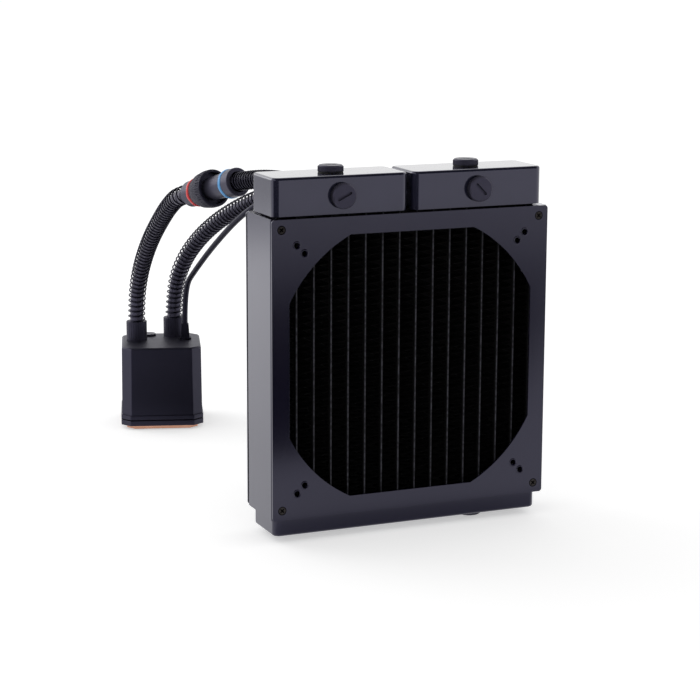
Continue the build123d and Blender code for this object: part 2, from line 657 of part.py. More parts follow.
def jet_plate():
    """The slotted plate that spreads the flow over the cold plate's fins."""
    bottom = COLD_PLATE_THICKNESS + MICROFIN_HEIGHT
    plate = rod(BASE_OPENING, bottom, bottom + JET_PLATE_THICKNESS)
    return plate - Pos(0, 0, bottom) * Box(JET_SLOT_LENGTH, JET_SLOT_WIDTH, 3 * JET_PLATE_THICKNESS)


def pump_chamber():
    """The round cup that the impeller turns in, on a square flange."""
    flange = Pos(0, 0, BASE_TOP) * cut_square(CHAMBER_FLANGE, COLD_PLATE_CORNER, CHAMBER_FLOOR)
    cup = flange + rod(CHAMBER_DIAMETER, BASE_TOP, CHAMBER_TOP)
    cup -= rod(CHAMBER_DIAMETER - 2 * CHAMBER_WALL, CHAMBER_FLOOR_TOP, CHAMBER_TOP)
    cup -= rod(SHAFT_DIAMETER, CHAMBER_FLOOR_TOP - SHAFT_SEAT, CHAMBER_FLOOR_TOP)
    for index in range(CHAMBER_INLETS):
        turn = Rot(0, 0, (index + 0.5) * 360 / CHAMBER_INLETS)
        inlet = rod(CHAMBER_INLET_DIAMETER, BASE_TOP, CHAMBER_FLOOR_TOP)
        cup -= turn * Pos(CHAMBER_INLET_RADIUS, 0, 0) * inlet
    return cup - base_screw_forms()


def pump_cover():
    """The chamber's lid, drawn up as a can round the rotor, with the outlet's riser."""
    lid = rod(CHAMBER_DIAMETER, CHAMBER_TOP, COVER_TOP)
    lid += rod(CAN_DIAMETER, CHAMBER_TOP, CAN_TOP)
    lid += rod(CAN_DIAMETER / 2, CAN_TOP, BOARD_BOTTOM)
    lid -= rod(CAN_BORE, CHAMBER_TOP, CAN_CEILING)
    lid -= rod(SHAFT_DIAMETER, CAN_CEILING, CAN_CEILING + SHAFT_SEAT)
    lid += ring(STATOR_DIAMETER, STATOR_DIAMETER - 2 * STATOR_YOKE, CHAMBER_TOP, STATOR_BOTTOM)
    lid += Pos(*OUTLET_PORT) * rod(RISER_DIAMETER, CHAMBER_TOP, HOUSING_INNER_TOP)
    return lid - Pos(*OUTLET_PORT) * rod(RISER_BORE, CHAMBER_TOP, HOUSING_INNER_TOP)


def rotor_shaft():
    """The fixed ceramic pin that the impeller turns on."""
    return rod(SHAFT_DIAMETER, CHAMBER_FLOOR_TOP - SHAFT_SEAT, CAN_CEILING + SHAFT_SEAT)


def impeller():
    """A disc with curved blades below and a hub above, bored for the shaft."""
    wheel = rod(IMPELLER_DIAMETER, DISC_BOTTOM, DISC_TOP)
    wheel += rod(HUB_DIAMETER, BLADE_BOTTOM, MAGNET_TOP)
    root = HUB_DIAMETER / 2 - BLADE_THICKNESS / 2
    reach = IMPELLER_DIAMETER / 2 - BLADE_RIM_INSET
    angle = math.radians(BLADE_SWEEP)
    tip = (reach * math.cos(angle), reach * math.sin(angle))
    spine = ThreePointArc((root, 0), ((root + reach) / 2, -BLADE_BOW), tip)
    start = Plane(origin=(root, 0), x_dir=(0, 0, 1), z_dir=spine % 0)
    section = start * Rectangle(IMPELLER_BLADE_HEIGHT, BLADE_THICKNESS)
    blade = Pos(0, 0, (BLADE_BOTTOM + DISC_BOTTOM) / 2) * sweep(section, path=spine)
    for index in range(IMPELLER_BLADES):
        wheel += Rot(0, 0, index * 360 / IMPELLER_BLADES) * blade
    return wheel - rod(SHAFT_DIAMETER + 2 * SHAFT_CLEARANCE, BLADE_BOTTOM, MAGNET_TOP)


def rotor_magnet():
    """The ring magnet pressed on the impeller's hub."""
    return ring(ROTOR_DIAMETER, HUB_DIAMETER, DISC_TOP, MAGNET_TOP)


def stator_poles():
    """The stator's poles, as boxes on X turned round."""
    inner = CAN_DIAMETER / 2
    outer = STATOR_DIAMETER / 2 - STATOR_YOKE / 2
    half = STATOR_POLE_WIDTH / 2
    pole = box(inner, outer, -half, half, STATOR_BOTTOM, STATOR_BOTTOM + STATOR_HEIGHT)
    return [Rot(0, 0, index * 360 / STATOR_POLES) * pole for index in range(STATOR_POLES)]


def motor_stator():
    """The iron stack round the can."""
    top = STATOR_BOTTOM + STATOR_HEIGHT
    stack = ring(STATOR_DIAMETER, STATOR_DIAMETER - 2 * STATOR_YOKE, STATOR_BOTTOM, top)
    for pole in stator_poles():
        stack += pole
    return stack - rod(CAN_DIAMETER, STATOR_BOTTOM, top)


def motor_coils():
    """A winding round each pole."""
    inner = CAN_DIAMETER / 2 + COIL_WALL
    outer = STATOR_DIAMETER / 2 - STATOR_YOKE - COIL_WALL / 2
    half = STATOR_POLE_WIDTH / 2
    top = STATOR_BOTTOM + STATOR_HEIGHT
    side = half + COIL_WALL
    coil = box(inner, outer, -side, side, STATOR_BOTTOM - COIL_WALL, top + COIL_WALL)
    coil -= box(inner, outer, -half, half, STATOR_BOTTOM, top)
    return group([Rot(0, 0, index * 360 / STATOR_POLES) * coil for index in range(STATOR_POLES)])


def driver_board():
    """The motor's circuit board, on the can's stub."""
    return Pos(0, 0, BOARD_BOTTOM) * cut_square(BOARD_SIDE, BOARD_CORNER, BOARD_THICKNESS)


def board_parts():
    """The driver chip, a choke and two capacitors on the board."""
    top = BOARD_BOTTOM + BOARD_THICKNESS
    parts = [
        box(-3, 3, -3, 3, top, top + 1.2),
        box(5, 9.5, -9, -4.5, top, top + 3.0),
        Pos(-7.5, -7, 0) * rod(5.0, top, top + 6.0),
        Pos(-7.5, 5, 0) * rod(5.0, top, top + 6.0),
    ]
    return group(parts)


def housing_form(inset, bottom, top):
    """The housing's outer or inner form between two heights, narrower at the top."""
    lower = BLOCK_WIDTH + 2 * BLOCK_TAPER - 2 * inset
    upper = BLOCK_WIDTH - 2 * inset
    corner = BLOCK_CHAMFER - inset * 0.586
    base = cut_square(lower, corner, 1).faces().sort_by(Axis.Z)[0]
    roof = cut_square(upper, corner, 1).faces().sort_by(Axis.Z)[0]
    return loft([Pos(0, 0, bottom) * base, Pos(0, 0, top) * roof], ruled=True)


def pump_housing():
    """The moulded cover: chamfered corners, a bevelled rim, a lip below and bosses for its ports."""
    shell = housing_form(0, HOUSING_BOTTOM, BLOCK_HEIGHT)
    shell = chamfer(shell.faces().sort_by(Axis.Z)[-1].edges(), BLOCK_RIM)
    upright = [edge for edge in shell.edges() if edge.bounding_box().size.Z > BLOCK_HEIGHT / 2]
    shell = fillet(upright, BLOCK_RIM)
    lip = cut_square(BLOCK_WIDTH + 2 * (BLOCK_TAPER + LIP_OVERHANG), BLOCK_CHAMFER, LIP_HEIGHT)
    lip = fillet(lip.edges().filter_by(Axis.Z), BLOCK_RIM)
    shell += Pos(0, 0, HOUSING_BOTTOM) * lip
    neck = cut_square(BLOCK_WIDTH - 2 * LIP_GROOVE_DEPTH, BLOCK_CHAMFER, LIP_GROOVE_HEIGHT)
    shell += Pos(0, 0, BASE_TOP) * neck
    shell -= housing_form(HOUSING_WALL, BASE_TOP - 1, HOUSING_INNER_TOP)
    boss = FILL_THREAD + 2 * FILL_BOSS_WALL
    shell += Pos(*FILL_PORT) * rod(boss, HOUSING_INNER_TOP - FILL_BOSS_DEPTH, HOUSING_INNER_TOP)
    shell -= Pos(*FILL_PORT) * rod(FILL_THREAD, HOUSING_INNER_TOP - FILL_BOSS_DEPTH, BLOCK_HEIGHT)
    for port in (OUTLET_PORT, INLET_PORT):
        shell -= Pos(*port) * rod(BARB_STEM_DIAMETER, HOUSING_INNER_TOP, BLOCK_HEIGHT)
    return shell - Pos(*CABLE_PORT) * rod(BOOT_STEM_DIAMETER, HOUSING_INNER_TOP, BLOCK_HEIGHT)


def block_fitting():
    """A hose fitting in the block's top: stem, foot and barb."""
    foot = rod(SLEEVE_DIAMETER, 0, BARB_FOOT) + rod(BARB_STEM_DIAMETER, -HOUSING_WALL, 0)
    barb = Pos(0, 0, BARB_FOOT) * hose_barb(BARB_LENGTH)
    return foot + barb - rod(BARB_BORE, -HOUSING_WALL, BARB_FOOT + BARB_LENGTH)


def fill_plug():
    """The slotted disc that closes the fill port."""
    disc = rod(FILL_PLUG_DIAMETER, 0, FILL_PLUG_HEIGHT)
    disc = chamfer(disc.faces().sort_by(Axis.Z)[-1].edges(), FILL_RING_SECTION / 2)
    disc -= ring_groove(FILL_THREAD, FILL_RING_SECTION)
    slot = SlotOverall(FILL_SLOT_LENGTH, FILL_SLOT_WIDTH)
    disc -= Pos(0, 0, FILL_PLUG_HEIGHT) * extrude(slot, -FILL_SLOT_DEPTH)
    shank = FILL_THREAD_TURNS * FILL_THREAD_PITCH
    return disc + rod(FILL_THREAD - 2 * THREAD_CLEARANCE, -shank, FILL_RING_SECTION)


def fill_ring():
    """The fill plug's sealing ring, which stays still while the plug turns over it."""
    outer = FILL_THREAD + 2 * (FILL_RING_SECTION - THREAD_CLEARANCE)
    return ring(outer, FILL_THREAD, 0, FILL_RING_SECTION)


def cable_boot():
    """The rubber boot that the cable leaves by: stem, flange and tapered body."""
    width, depth, height = BOOT_FLANGE
    base = box(-width / 2, width / 2, -depth / 2, depth / 2, 0, height)
    base = fillet(base.edges().filter_by(Axis.Z), BOOT_CORNER)
    lower = Pos(0, 0, height) * Rectangle(*BOOT_BODY)
    upper = Pos(0, 0, BOOT_HEIGHT) * Rectangle(*BOOT_TOP)
    body = loft([lower, upper], ruled=True)
    return base + body + rod(BOOT_STEM_DIAMETER, -HOUSING_WALL, 0)


# Coupling: built along Z from the pump's side to the radiator's side, then laid in the hose

SOCKET_RING_Z = GRIP_LENGTH
BARREL_Z = SOCKET_RING_Z + MARK_RING_WIDTH
MOUTH_Z = BARREL_Z + COLLAR_LENGTH
PLUG_RING_Z = MOUTH_Z + PLUG_BODY_GAP
PLUG_GRIP_Z = PLUG_RING_Z + MARK_RING_WIDTH
COUPLING_LENGTH = PLUG_GRIP_Z + GRIP_LENGTH
SOCKET_FACE_Z = BARREL_Z + SOCKET_BARREL_LENGTH
COLLAR_START_Z = BARREL_Z + CLIP_WIDTH / 4
COLLAR_FLANGE_Z = COLLAR_START_Z + SOCKET_BARREL_LENGTH * 0.4
CLIP_Z = COLLAR_FLANGE_Z + CLIP_WIDTH / 4
MOUTH_BORE = COLLAR_LARGE_DIAMETER - 2 * COLLAR_MOUTH_WALL
MOUTH_FLOOR_Z = MOUTH_Z - COLLAR_MOUTH_DEPTH
COUPLING_START = tuple(end - COUPLING_LENGTH * step for end, step in zip(COUPLING_END, COUPLING_DIRECTION))
COUPLING = Plane(origin=COUPLING_START, x_dir=(1, 0, 0), z_dir=COUPLING_DIRECTION).location


def mark_ring(diameter, start):
    """A coloured ring set in a groove of the coupling's body."""
    outer = diameter + 2 * MARK_RING_PROUD
    inner = diameter - 2 * MARK_RING_DEPTH
    return ring(outer, inner, start, start + MARK_RING_WIDTH)


def barbed_recess(grip_face, inward):
    """The recess that a hose enters at one end of the coupling, and its barb along Z."""
    floor = grip_face + inward * GRIP_RECESS_DEPTH
    recess = rod(GRIP_RECESS_DIAMETER, min(grip_face, floor), max(grip_face, floor))
    barb = hose_barb(BARB_LENGTH)
    if inward > 0:
        barb = mirror(barb, about=Plane.XY)
    return recess, Pos(0, 0, floor) * barb


def coupling_socket():
    """The half on the pump's hose: grip, ring groove, and a barrel with the valve's bore."""
    body = rod(GRIP_DIAMETER, 0, SOCKET_RING_Z)
    body += rod(GRIP_DIAMETER - 2 * MARK_RING_DEPTH, SOCKET_RING_Z, BARREL_Z)
    body += rod(SOCKET_BARREL_DIAMETER, BARREL_Z, SOCKET_FACE_Z)
    recess, barb = barbed_recess(0, 1)
    body = body - recess + barb
    clip_groove = SOCKET_BARREL_DIAMETER - 2 * CLIP_PROUD
    body -= ring(SOCKET_BARREL_DIAMETER, clip_groove, CLIP_Z, CLIP_Z + CLIP_WIDTH)
    nose = PLUG_NOSE_DIAMETER + 2 * NOSE_CLEARANCE
    body -= rod(nose, SOCKET_FACE_Z - PLUG_NOSE_LENGTH, SOCKET_FACE_Z)
    return body - rod(COUPLING_BORE, GRIP_RECESS_DEPTH - BARB_LENGTH, SOCKET_FACE_Z)


def collar_clip():
    """The snap ring that keeps the collar on the barrel."""
    inner = SOCKET_BARREL_DIAMETER - 2 * CLIP_PROUD
    return ring(SOCKET_BARREL_DIAMETER + 2 * CLIP_PROUD, inner, CLIP_Z, CLIP_Z + CLIP_WIDTH)


def union_collar():
    """The knurled collar that screws the halves together: narrow at the socket, wide at its mouth."""
    small, large = COLLAR_SMALL_DIAMETER / 2, COLLAR_LARGE_DIAMETER / 2
    bore = SOCKET_BARREL_DIAMETER / 2 + COLLAR_CLEARANCE
    throat = SOCKET_BARREL_DIAMETER / 2 + CLIP_PROUD + COLLAR_CLEARANCE
    shoulder = COLLAR_START_Z + COLLAR_SHOULDER
    outline = [
        (bore, COLLAR_START_Z), (small - COLLAR_EDGE, COLLAR_START_Z), (small, COLLAR_START_Z + COLLAR_EDGE),
        (small + (large - small) * 0.7, COLLAR_START_Z + COLLAR_SHOULDER / 2), (large, shoulder),
        (large, MOUTH_Z - COLLAR_EDGE), (large - COLLAR_EDGE, MOUTH_Z), (MOUTH_BORE / 2, MOUTH_Z),
        (MOUTH_BORE / 2, MOUTH_FLOOR_Z), (throat, MOUTH_FLOOR_Z), (throat, COLLAR_FLANGE_Z),
        (bore, COLLAR_FLANGE_Z),
    ]
    collar = turned(outline)
    groove = rod(4 * COLLAR_KNURL_DEPTH, shoulder, MOUTH_Z - 2 * COLLAR_EDGE)
    for index in range(COLLAR_KNURLS):
        collar -= Rot(0, 0, index * 360 / COLLAR_KNURLS) * Pos(large + COLLAR_KNURL_DEPTH, 0, 0) * groove
    return collar


def coupling_plug():
    """The half on the radiator's hose: nose, screwed flange, tapered body, ring groove and grip."""
    flange = MOUTH_BORE / 2 - COLLAR_CLEARANCE
    flange_top = MOUTH_FLOOR_Z + COLLAR_MOUTH_DEPTH * 0.45
    start = SOCKET_FACE_Z + NOSE_CLEARANCE
    neck = SOCKET_BARREL_DIAMETER / 2
    body = turned([
        (0, SOCKET_FACE_Z - PLUG_NOSE_LENGTH + NOSE_CLEARANCE),
        (PLUG_NOSE_DIAMETER / 2, SOCKET_FACE_Z - PLUG_NOSE_LENGTH + NOSE_CLEARANCE),
        (PLUG_NOSE_DIAMETER / 2, start), (neck, start), (flange, start), (flange, flange_top),
        (PLUG_BODY_SMALL_DIAMETER / 2, flange_top), (PLUG_BODY_LARGE_DIAMETER / 2, PLUG_RING_Z),
        (PLUG_BODY_LARGE_DIAMETER / 2 - MARK_RING_DEPTH, PLUG_RING_Z),
        (PLUG_BODY_LARGE_DIAMETER / 2 - MARK_RING_DEPTH, PLUG_GRIP_Z),
        (BLUE_GRIP_DIAMETER / 2, PLUG_GRIP_Z), (BLUE_GRIP_DIAMETER / 2, COUPLING_LENGTH - COLLAR_EDGE),
        (BLUE_GRIP_DIAMETER / 2 - COLLAR_EDGE, COUPLING_LENGTH), (0, COUPLING_LENGTH),
    ])
    recess, barb = barbed_recess(COUPLING_LENGTH, -1)
    body = body - recess + barb
    body -= nose_seal()
    return body - rod(COUPLING_BORE, 0, COUPLING_LENGTH + BARB_LENGTH)


def nose_seal():
    """The ring that seals the nose in the socket."""
    start = SOCKET_FACE_Z - PLUG_NOSE_LENGTH / 2
    outer = PLUG_NOSE_DIAMETER + 2 * NOSE_CLEARANCE
    return ring(outer, outer - 2 * RING_SECTION, start, start + RING_SECTION)


def coupling_valves():
    """The two sprung valve pins, which push each other open inside the joined halves."""
    meet = SOCKET_FACE_Z - PLUG_NOSE_LENGTH / 2
    guide = COUPLING_BORE / 2
    stem = VALVE_DIAMETER / 2
    pin = turned([
        (0, 0), (stem * 0.5, 0), (stem * 0.5, VALVE_LENGTH * 0.4), (stem, VALVE_LENGTH * 0.55),
        (stem, VALVE_LENGTH * 0.8), (guide, VALVE_LENGTH * 0.8), (guide, VALVE_LENGTH), (0, VALVE_LENGTH),
    ])
    return group([Pos(0, 0, meet) * pin, Pos(0, 0, meet) * Rot(180, 0, 0) * pin])


# Hoses and cable: straight runs joined by arcs, through the points chosen above

ARC_SHARE = 0.45


def route(points, name):
    """The path through a cord's points, each arc as large as its two runs allow."""
    places = [Vector(*point) for point in points]
    runs = [after - before for before, after in zip(places, places[1:])]
    radii = []
    for before, after in zip(runs, runs[1:]):
        half_turn = math.radians(before.get_angle(after)) / 2
        radii.append(ARC_SHARE * min(before.length, after.length) / math.tan(half_turn))
    print(name, "radii", [round(radius, 1) for radius in radii])
    return FilletPolyline(*points, radius=radii)


def tube(points, diameter, bore, name):
    """A plain tube, or a rod where the bore is 0, along a route."""
    path = route(points, name)
    start = Plane(origin=points[0], z_dir=Vector(*points[1]) - Vector(*points[0]))
    profile = Circle(diameter / 2) - Circle(bore / 2) if bore else Circle(diameter / 2)
    solid = sweep(start * profile, path=path)
    section = math.pi * (diameter ** 2 - bore ** 2) / 4
    ratio = solid.volume / (section * path.length)
    print(name, "length", round(path.length, 1), "volume ratio", round(ratio, 4))
    return solid


CONNECTOR_TURN = math.degrees(math.atan2(
    PUMP_CABLE_POINTS[-1][1] - PUMP_CABLE_POINTS[-2][1],
    PUMP_CABLE_POINTS[-1][0] - PUMP_CABLE_POINTS[-2][0],
))
CONNECTOR = Pos(PUMP_CABLE_POINTS[-1][0], PUMP_CABLE_POINTS[-1][1], 0) * Rot(0, 0, CONNECTOR_TURN)


def contact_boxes():
    """The forms of the contacts, one beside the other in the connector."""
    half = CONTACT_SIZE / 2
    middle = CONNECTOR_HEIGHT / 2
    start = CONNECTOR_LENGTH - CONTACT_LENGTH
    boxes = []
    for index in range(CONTACT_COUNT):
        y = (index - (CONTACT_COUNT - 1) / 2) * CONTACT_PITCH
        boxes.append(box(start, CONNECTOR_LENGTH, y - half, y + half, middle - half, middle + half))
    return boxes


def cable_connector():
    """The socket housing on the cable's end, which pushes on a board's pins."""
    half = CONNECTOR_WIDTH / 2
    housing = box(0, CONNECTOR_LENGTH, -half, half, 0, CONNECTOR_HEIGHT)
    housing = chamfer(housing.edges().filter_by(Axis.X), 0.5)
    low, high = CONNECTOR_HEIGHT - CONNECTOR_RIB, CONNECTOR_HEIGHT + CONNECTOR_RIB
    for y in (-CONTACT_PITCH, CONTACT_PITCH):
        rib = (y - CONNECTOR_RIB, y + CONNECTOR_RIB)
        housing += box(CONNECTOR_LENGTH - CONTACT_LENGTH, CONNECTOR_LENGTH, *rib, low, high)
    return housing - group(contact_boxes())


def connector_contacts():
    """The metal contacts, each a small open box in its cell."""
    bore = CONTACT_SIZE - 2 * CONTACT_WALL
    contacts = []
    for cell in contact_boxes():
        centre = cell.bounding_box().center()
        contacts.append(cell - Pos(*centre) * Box(CONTACT_LENGTH, bore, bore))
    return group(contacts)


# Every sub-part, in its place

save("front_frame", FRONT_PANEL * frame_panel())
save("rear_frame", BACK_PANEL * frame_panel())
save("side_channel_left", side_channel(LEFT))
save("side_channel_right", side_channel(RIGHT))
save("frame_screws", group([place * frame_screw() for place in screw_places()]))
save("core_tubes", core_tubes())
save("core_fins", core_fins())
for tank_name in TANK_SPANS:
    save(f"{tank_name}_tank", tank(tank_name))
    save(f"{tank_name}_header", header(tank_name))
save("port_bushes", group([place * port_bush() for place in ALL_PORTS]))
save("tank_plugs", group([place * tank_plug() for place in PLUGGED_PORTS]))
SEALED_PORTS = [place * ring_groove(PORT_THREAD, RING_SECTION) for place in ALL_PORTS]
save("port_rings", group(SEALED_PORTS))
save("radiator_inlet_fitting", INLET_BACK * radiator_fitting())
save("radiator_outlet_fitting", OUTLET_BACK * radiator_fitting())

OUTLET_TOP = on_block(*OUTLET_PORT, BLOCK_HEIGHT)
INLET_TOP = on_block(*INLET_PORT, BLOCK_HEIGHT)
FILL_TOP = on_block(*FILL_PORT, BLOCK_HEIGHT)
SLEEVE_PLACES = [
    OUTLET_TOP * Pos(0, 0, BARB_FOOT),
    INLET_TOP * Pos(0, 0, BARB_FOOT),
    INLET_BACK * Pos(0, 0, FITTING_FLANGE_HEIGHT),
    OUTLET_BACK * Pos(0, 0, FITTING_FLANGE_HEIGHT),
]
save("hose_sleeves", group([place * hose_sleeve() for place in SLEEVE_PLACES]))
save("cold_plate", on_block() * cold_plate())
save("base_screws", on_block() * base_screws())
save("cold_plate_seal", on_block() * seal_form())
save("base_frame", on_block() * base_frame())
save("jet_plate", on_block() * jet_plate())
save("pump_chamber", on_block() * pump_chamber())
save("pump_cover", on_block() * pump_cover())
save("rotor_shaft", on_block() * rotor_shaft())
save("impeller", on_block() * impeller())
save("rotor_magnet", on_block() * rotor_magnet())
save("motor_stator", on_block() * motor_stator())
save("motor_coils", on_block() * motor_coils())
save("driver_board", on_block() * driver_board())
save("board_parts", on_block() * board_parts())
save("pump_housing", on_block() * pump_housing())
save("block_outlet_fitting", OUTLET_TOP * block_fitting())
save("block_inlet_fitting", INLET_TOP * block_fitting())
save("fill_plug", FILL_TOP * fill_plug())
save("fill_plug_ring", FILL_TOP * fill_ring())
save("cable_boot", on_block(*CABLE_PORT, BLOCK_HEIGHT) * cable_boot())

save("coupling_socket", COUPLING * coupling_socket())
save("coupling_red_ring", COUPLING * mark_ring(GRIP_DIAMETER, SOCKET_RING_Z))
save("coupling_clip", COUPLING * collar_clip())
save("union_collar", COUPLING * union_collar())
save("coupling_plug", COUPLING * coupling_plug())
save("coupling_blue_ring", COUPLING * mark_ring(PLUG_BODY_LARGE_DIAMETER, PLUG_RING_Z))
save("coupling_nose_seal", COUPLING * nose_seal())
save("coupling_valves", COUPLING * coupling_valves())

save("outlet_hose", tube(OUTLET_HOSE_POINTS, HOSE_DIAMETER, HOSE_BORE, "outlet_hose"))
save("inlet_tank_hose", tube(INLET_TANK_HOSE_POINTS, HOSE_DIAMETER, HOSE_BORE, "inlet_tank_hose"))
save("return_hose", tube(RETURN_HOSE_POINTS, HOSE_DIAMETER, HOSE_BORE, "return_hose"))
save("pump_cable", tube(PUMP_CABLE_POINTS, CABLE_DIAMETER, 0, "pump_cable"))
save("cable_connector", CONNECTOR * cable_connector())
save("connector_contacts", CONNECTOR * connector_contacts())
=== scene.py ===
import json
import math

import bmesh
import bpy
from mathutils import Matrix, Vector

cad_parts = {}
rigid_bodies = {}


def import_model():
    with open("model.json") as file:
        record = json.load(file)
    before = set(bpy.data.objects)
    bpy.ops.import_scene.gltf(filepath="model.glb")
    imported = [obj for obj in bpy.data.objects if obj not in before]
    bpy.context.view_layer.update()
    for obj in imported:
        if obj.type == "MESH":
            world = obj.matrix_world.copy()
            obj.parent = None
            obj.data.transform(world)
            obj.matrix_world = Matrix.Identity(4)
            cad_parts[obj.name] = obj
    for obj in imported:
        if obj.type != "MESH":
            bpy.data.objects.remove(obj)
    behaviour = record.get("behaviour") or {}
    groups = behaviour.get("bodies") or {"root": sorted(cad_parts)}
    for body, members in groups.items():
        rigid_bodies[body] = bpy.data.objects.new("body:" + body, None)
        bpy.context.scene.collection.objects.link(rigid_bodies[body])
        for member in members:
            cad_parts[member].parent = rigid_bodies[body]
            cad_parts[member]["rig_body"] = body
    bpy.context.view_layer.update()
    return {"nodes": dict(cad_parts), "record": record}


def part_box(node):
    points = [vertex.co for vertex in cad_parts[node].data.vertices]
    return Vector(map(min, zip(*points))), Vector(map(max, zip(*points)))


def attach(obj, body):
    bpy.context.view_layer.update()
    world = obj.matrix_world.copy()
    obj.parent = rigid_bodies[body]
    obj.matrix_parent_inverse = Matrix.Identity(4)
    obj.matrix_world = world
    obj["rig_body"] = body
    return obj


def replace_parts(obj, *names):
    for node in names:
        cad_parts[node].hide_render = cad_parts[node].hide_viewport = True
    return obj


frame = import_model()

# A liquid cooler for a processor: black radiator with three tanks, pump block with a copper plate,
# hoses in loose wire springs, a screw coupling in one hose, and the pump's cable.
# Metres, +Z up, in the same frame as the solids. The radiator's front faces -Y.

MM = 0.001

# The photograph's camera
CAMERA_PLACE = (-0.53326, -1.32603, 0.37428)
CAMERA_YAW = math.radians(-23.348)
CAMERA_PITCH = math.radians(11.648)
CAMERA_ROLL = math.radians(0.22)
CAMERA_LENS = 107.11
SENSOR_WIDTH = 36.0

# Hoses and cable, their real diameters and the control points of their routes
HOSE_DIAMETER = 10.0 * MM
CABLE_DIAMETER = 4.2 * MM
OUTLET_HOSE_POINTS = [
    (-0.06695, 0.16308, 0.063), (-0.06695, 0.16308, 0.091), (-0.0676, 0.150, 0.116),
    (-0.0705, 0.118, 0.1425), (-0.0748, 0.072, 0.168), (-0.079, 0.037, 0.1825),
    (-0.08189, 0.0109, 0.1902), (-0.07659, -0.00877, 0.19528),
]
INLET_TANK_HOSE_POINTS = [
    (-0.06596, -0.04831, 0.20549), (-0.0593, -0.0731, 0.2117), (-0.0456, -0.116, 0.2128),
    (-0.0456, -0.1433, 0.2128),
]
RETURN_HOSE_POINTS = [
    (-0.03585, 0.16796, 0.063), (-0.03585, 0.16796, 0.095), (-0.0315, 0.152, 0.1255),
    (-0.020, 0.117, 0.155), (-0.004, 0.066, 0.179), (0.011, 0.020, 0.190), (0.028, -0.032, 0.197),
    (0.041, -0.080, 0.205), (0.0456, -0.113, 0.2128), (0.0456, -0.1433, 0.2128),
]
PUMP_CABLE_POINTS = [
    (-0.0322, 0.1516, 0.074), (-0.0322, 0.1516, 0.102), (-0.0296, 0.133, 0.118),
    (-0.0245, 0.1035, 0.1415), (-0.0185, 0.066, 0.1665), (-0.009, 0.042, 0.181),
    (0.001, 0.030, 0.1965), (0.015, 0.020, 0.198), (0.024, 0.014, 0.185), (0.027, 0.012, 0.153),
    (0.028, 0.013, 0.115), (0.0285, 0.012, 0.075), (0.030, 0.015, 0.040), (0.034, 0.022, 0.014),
    (0.044, 0.036, 0.0021), (0.058, 0.048, 0.0023), (0.078, 0.052, 0.0029), (0.096, 0.050, 0.0029),
]

# Anti-kink springs: pitch, radius, slack, and by what share the turns thin out toward the far end.
# One is pulled open toward the coupling, and the short one is pressed together.
# They start past the sleeve, and inside the coupling's recess.
SPRING_WIRE_RADIUS = 0.56 * MM
OPEN_SPRING = (4.0 * MM, 6.1 * MM, 0.95 * MM, 0.0)
PULLED_SPRING = (4.0 * MM, 6.1 * MM, 0.95 * MM, 0.42)
PRESSED_SPRING = (2.7 * MM, 5.7 * MM, 0.1 * MM, 0.0)
SLEEVE_HEIGHT = 13.5 * MM
COUPLING_RECESS = 6.0 * MM

# Radiator core, its strips of fins between the tubes
CORE_LOW, CORE_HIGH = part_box("core_fins")
TUBE_PITCH = 11.35 * MM
TUBE_THICKNESS = 2.0 * MM
TUBE_COUNT = 16
FIN_PERIOD = 4.4 * MM
FIN_SHEET = 0.16 * MM
FIN_STEEPNESS = 1.5

# Points on each turn of a spring and on each fold of a fin
STEPS_PER_TURN = 16.0

# Where the tank plugs stand, which way their heads look, and how far their knurled sides reach
PLUGS = [
    ((-0.0456, -0.1837, 0.2128), (0, -1, 0)), ((0.0456, -0.1837, 0.2128), (0, -1, 0)),
    ((-0.0456, -0.1655, 0.225), (0, 0, 1)), ((0.0456, -0.1655, 0.225), (0, 0, 1)),
    ((0.0515, -0.1655, 0.0045), (0, 0, -1)),
]
PLUG_RADIUS = 7.7 * MM
PLUG_KNURL = (0.5 * MM, 3.7 * MM)
PLUG_KNURLS = 44
KNURL_RADIUS = 0.24 * MM

# The frame, where the fan holes stand in its panels, and how far their drawn-up rims bulge and sink
FRAME_CENTRE_Z = 108.2 * MM
FRAME_MIDDLE_Y = -165.5 * MM
FRAME_HALF_DEPTH = 22.0 * MM
FAN_HOLE_OFFSETS = (76.5 * MM, 71.5 * MM)
RIM_RADIUS = 2.3 * MM
RIM_BULGE = 0.55 * MM
RIM_SINK = 0.3 * MM

# The frame's corner screws: painted shade lies deeper in their heads than this, and further out than this
FRAME_SCREW_OFFSET = 86.25 * MM
SHADE_DEPTH = 0.25 * MM
SHADE_RADIUS = 2.2 * MM

# The coupling's start and direction, and the collar's outline that its knurls follow, as pairs of
# radius and height in millimetres
COUPLING_START = (-0.0783624, -0.0022106, 0.1935796)
COUPLING_DIRECTION = (0.252, -0.937, 0.242)
COLLAR_OUTLINE = [(9.5, 10.6), (11.55, 16.35), (12.45, 22.85), (12.45, 26.8)]
COLLAR_KNURLS = 64

# A mark ring's section, as pairs of a share of its width and a height in millimetres, and how many
# steps and how far its edges wander
MARK_SECTION = [(0.0, 0.0), (0.35, 0.3), (0.65, 0.3), (1.0, 0.0), (1.0, -1.2), (0.0, -1.2)]
MARK_STEPS = 120
MARK_WAVES = 7
MARK_WANDER = 0.2 * MM

# What merging, flattening and rounding a copy of a solid need
MERGE = 0.002 * MM
FLAT = math.radians(1.0)
EDGE = math.radians(32.0)

# Floor and surround: how far the floor reaches, what its paper adds to be white to the camera, and the
# surround's strength as light and as what is seen
FLOOR_HALF = 20.0
FLOOR_GLOW = 0.46
SOFT_LIGHT = 0.68
WHITE = 1.0

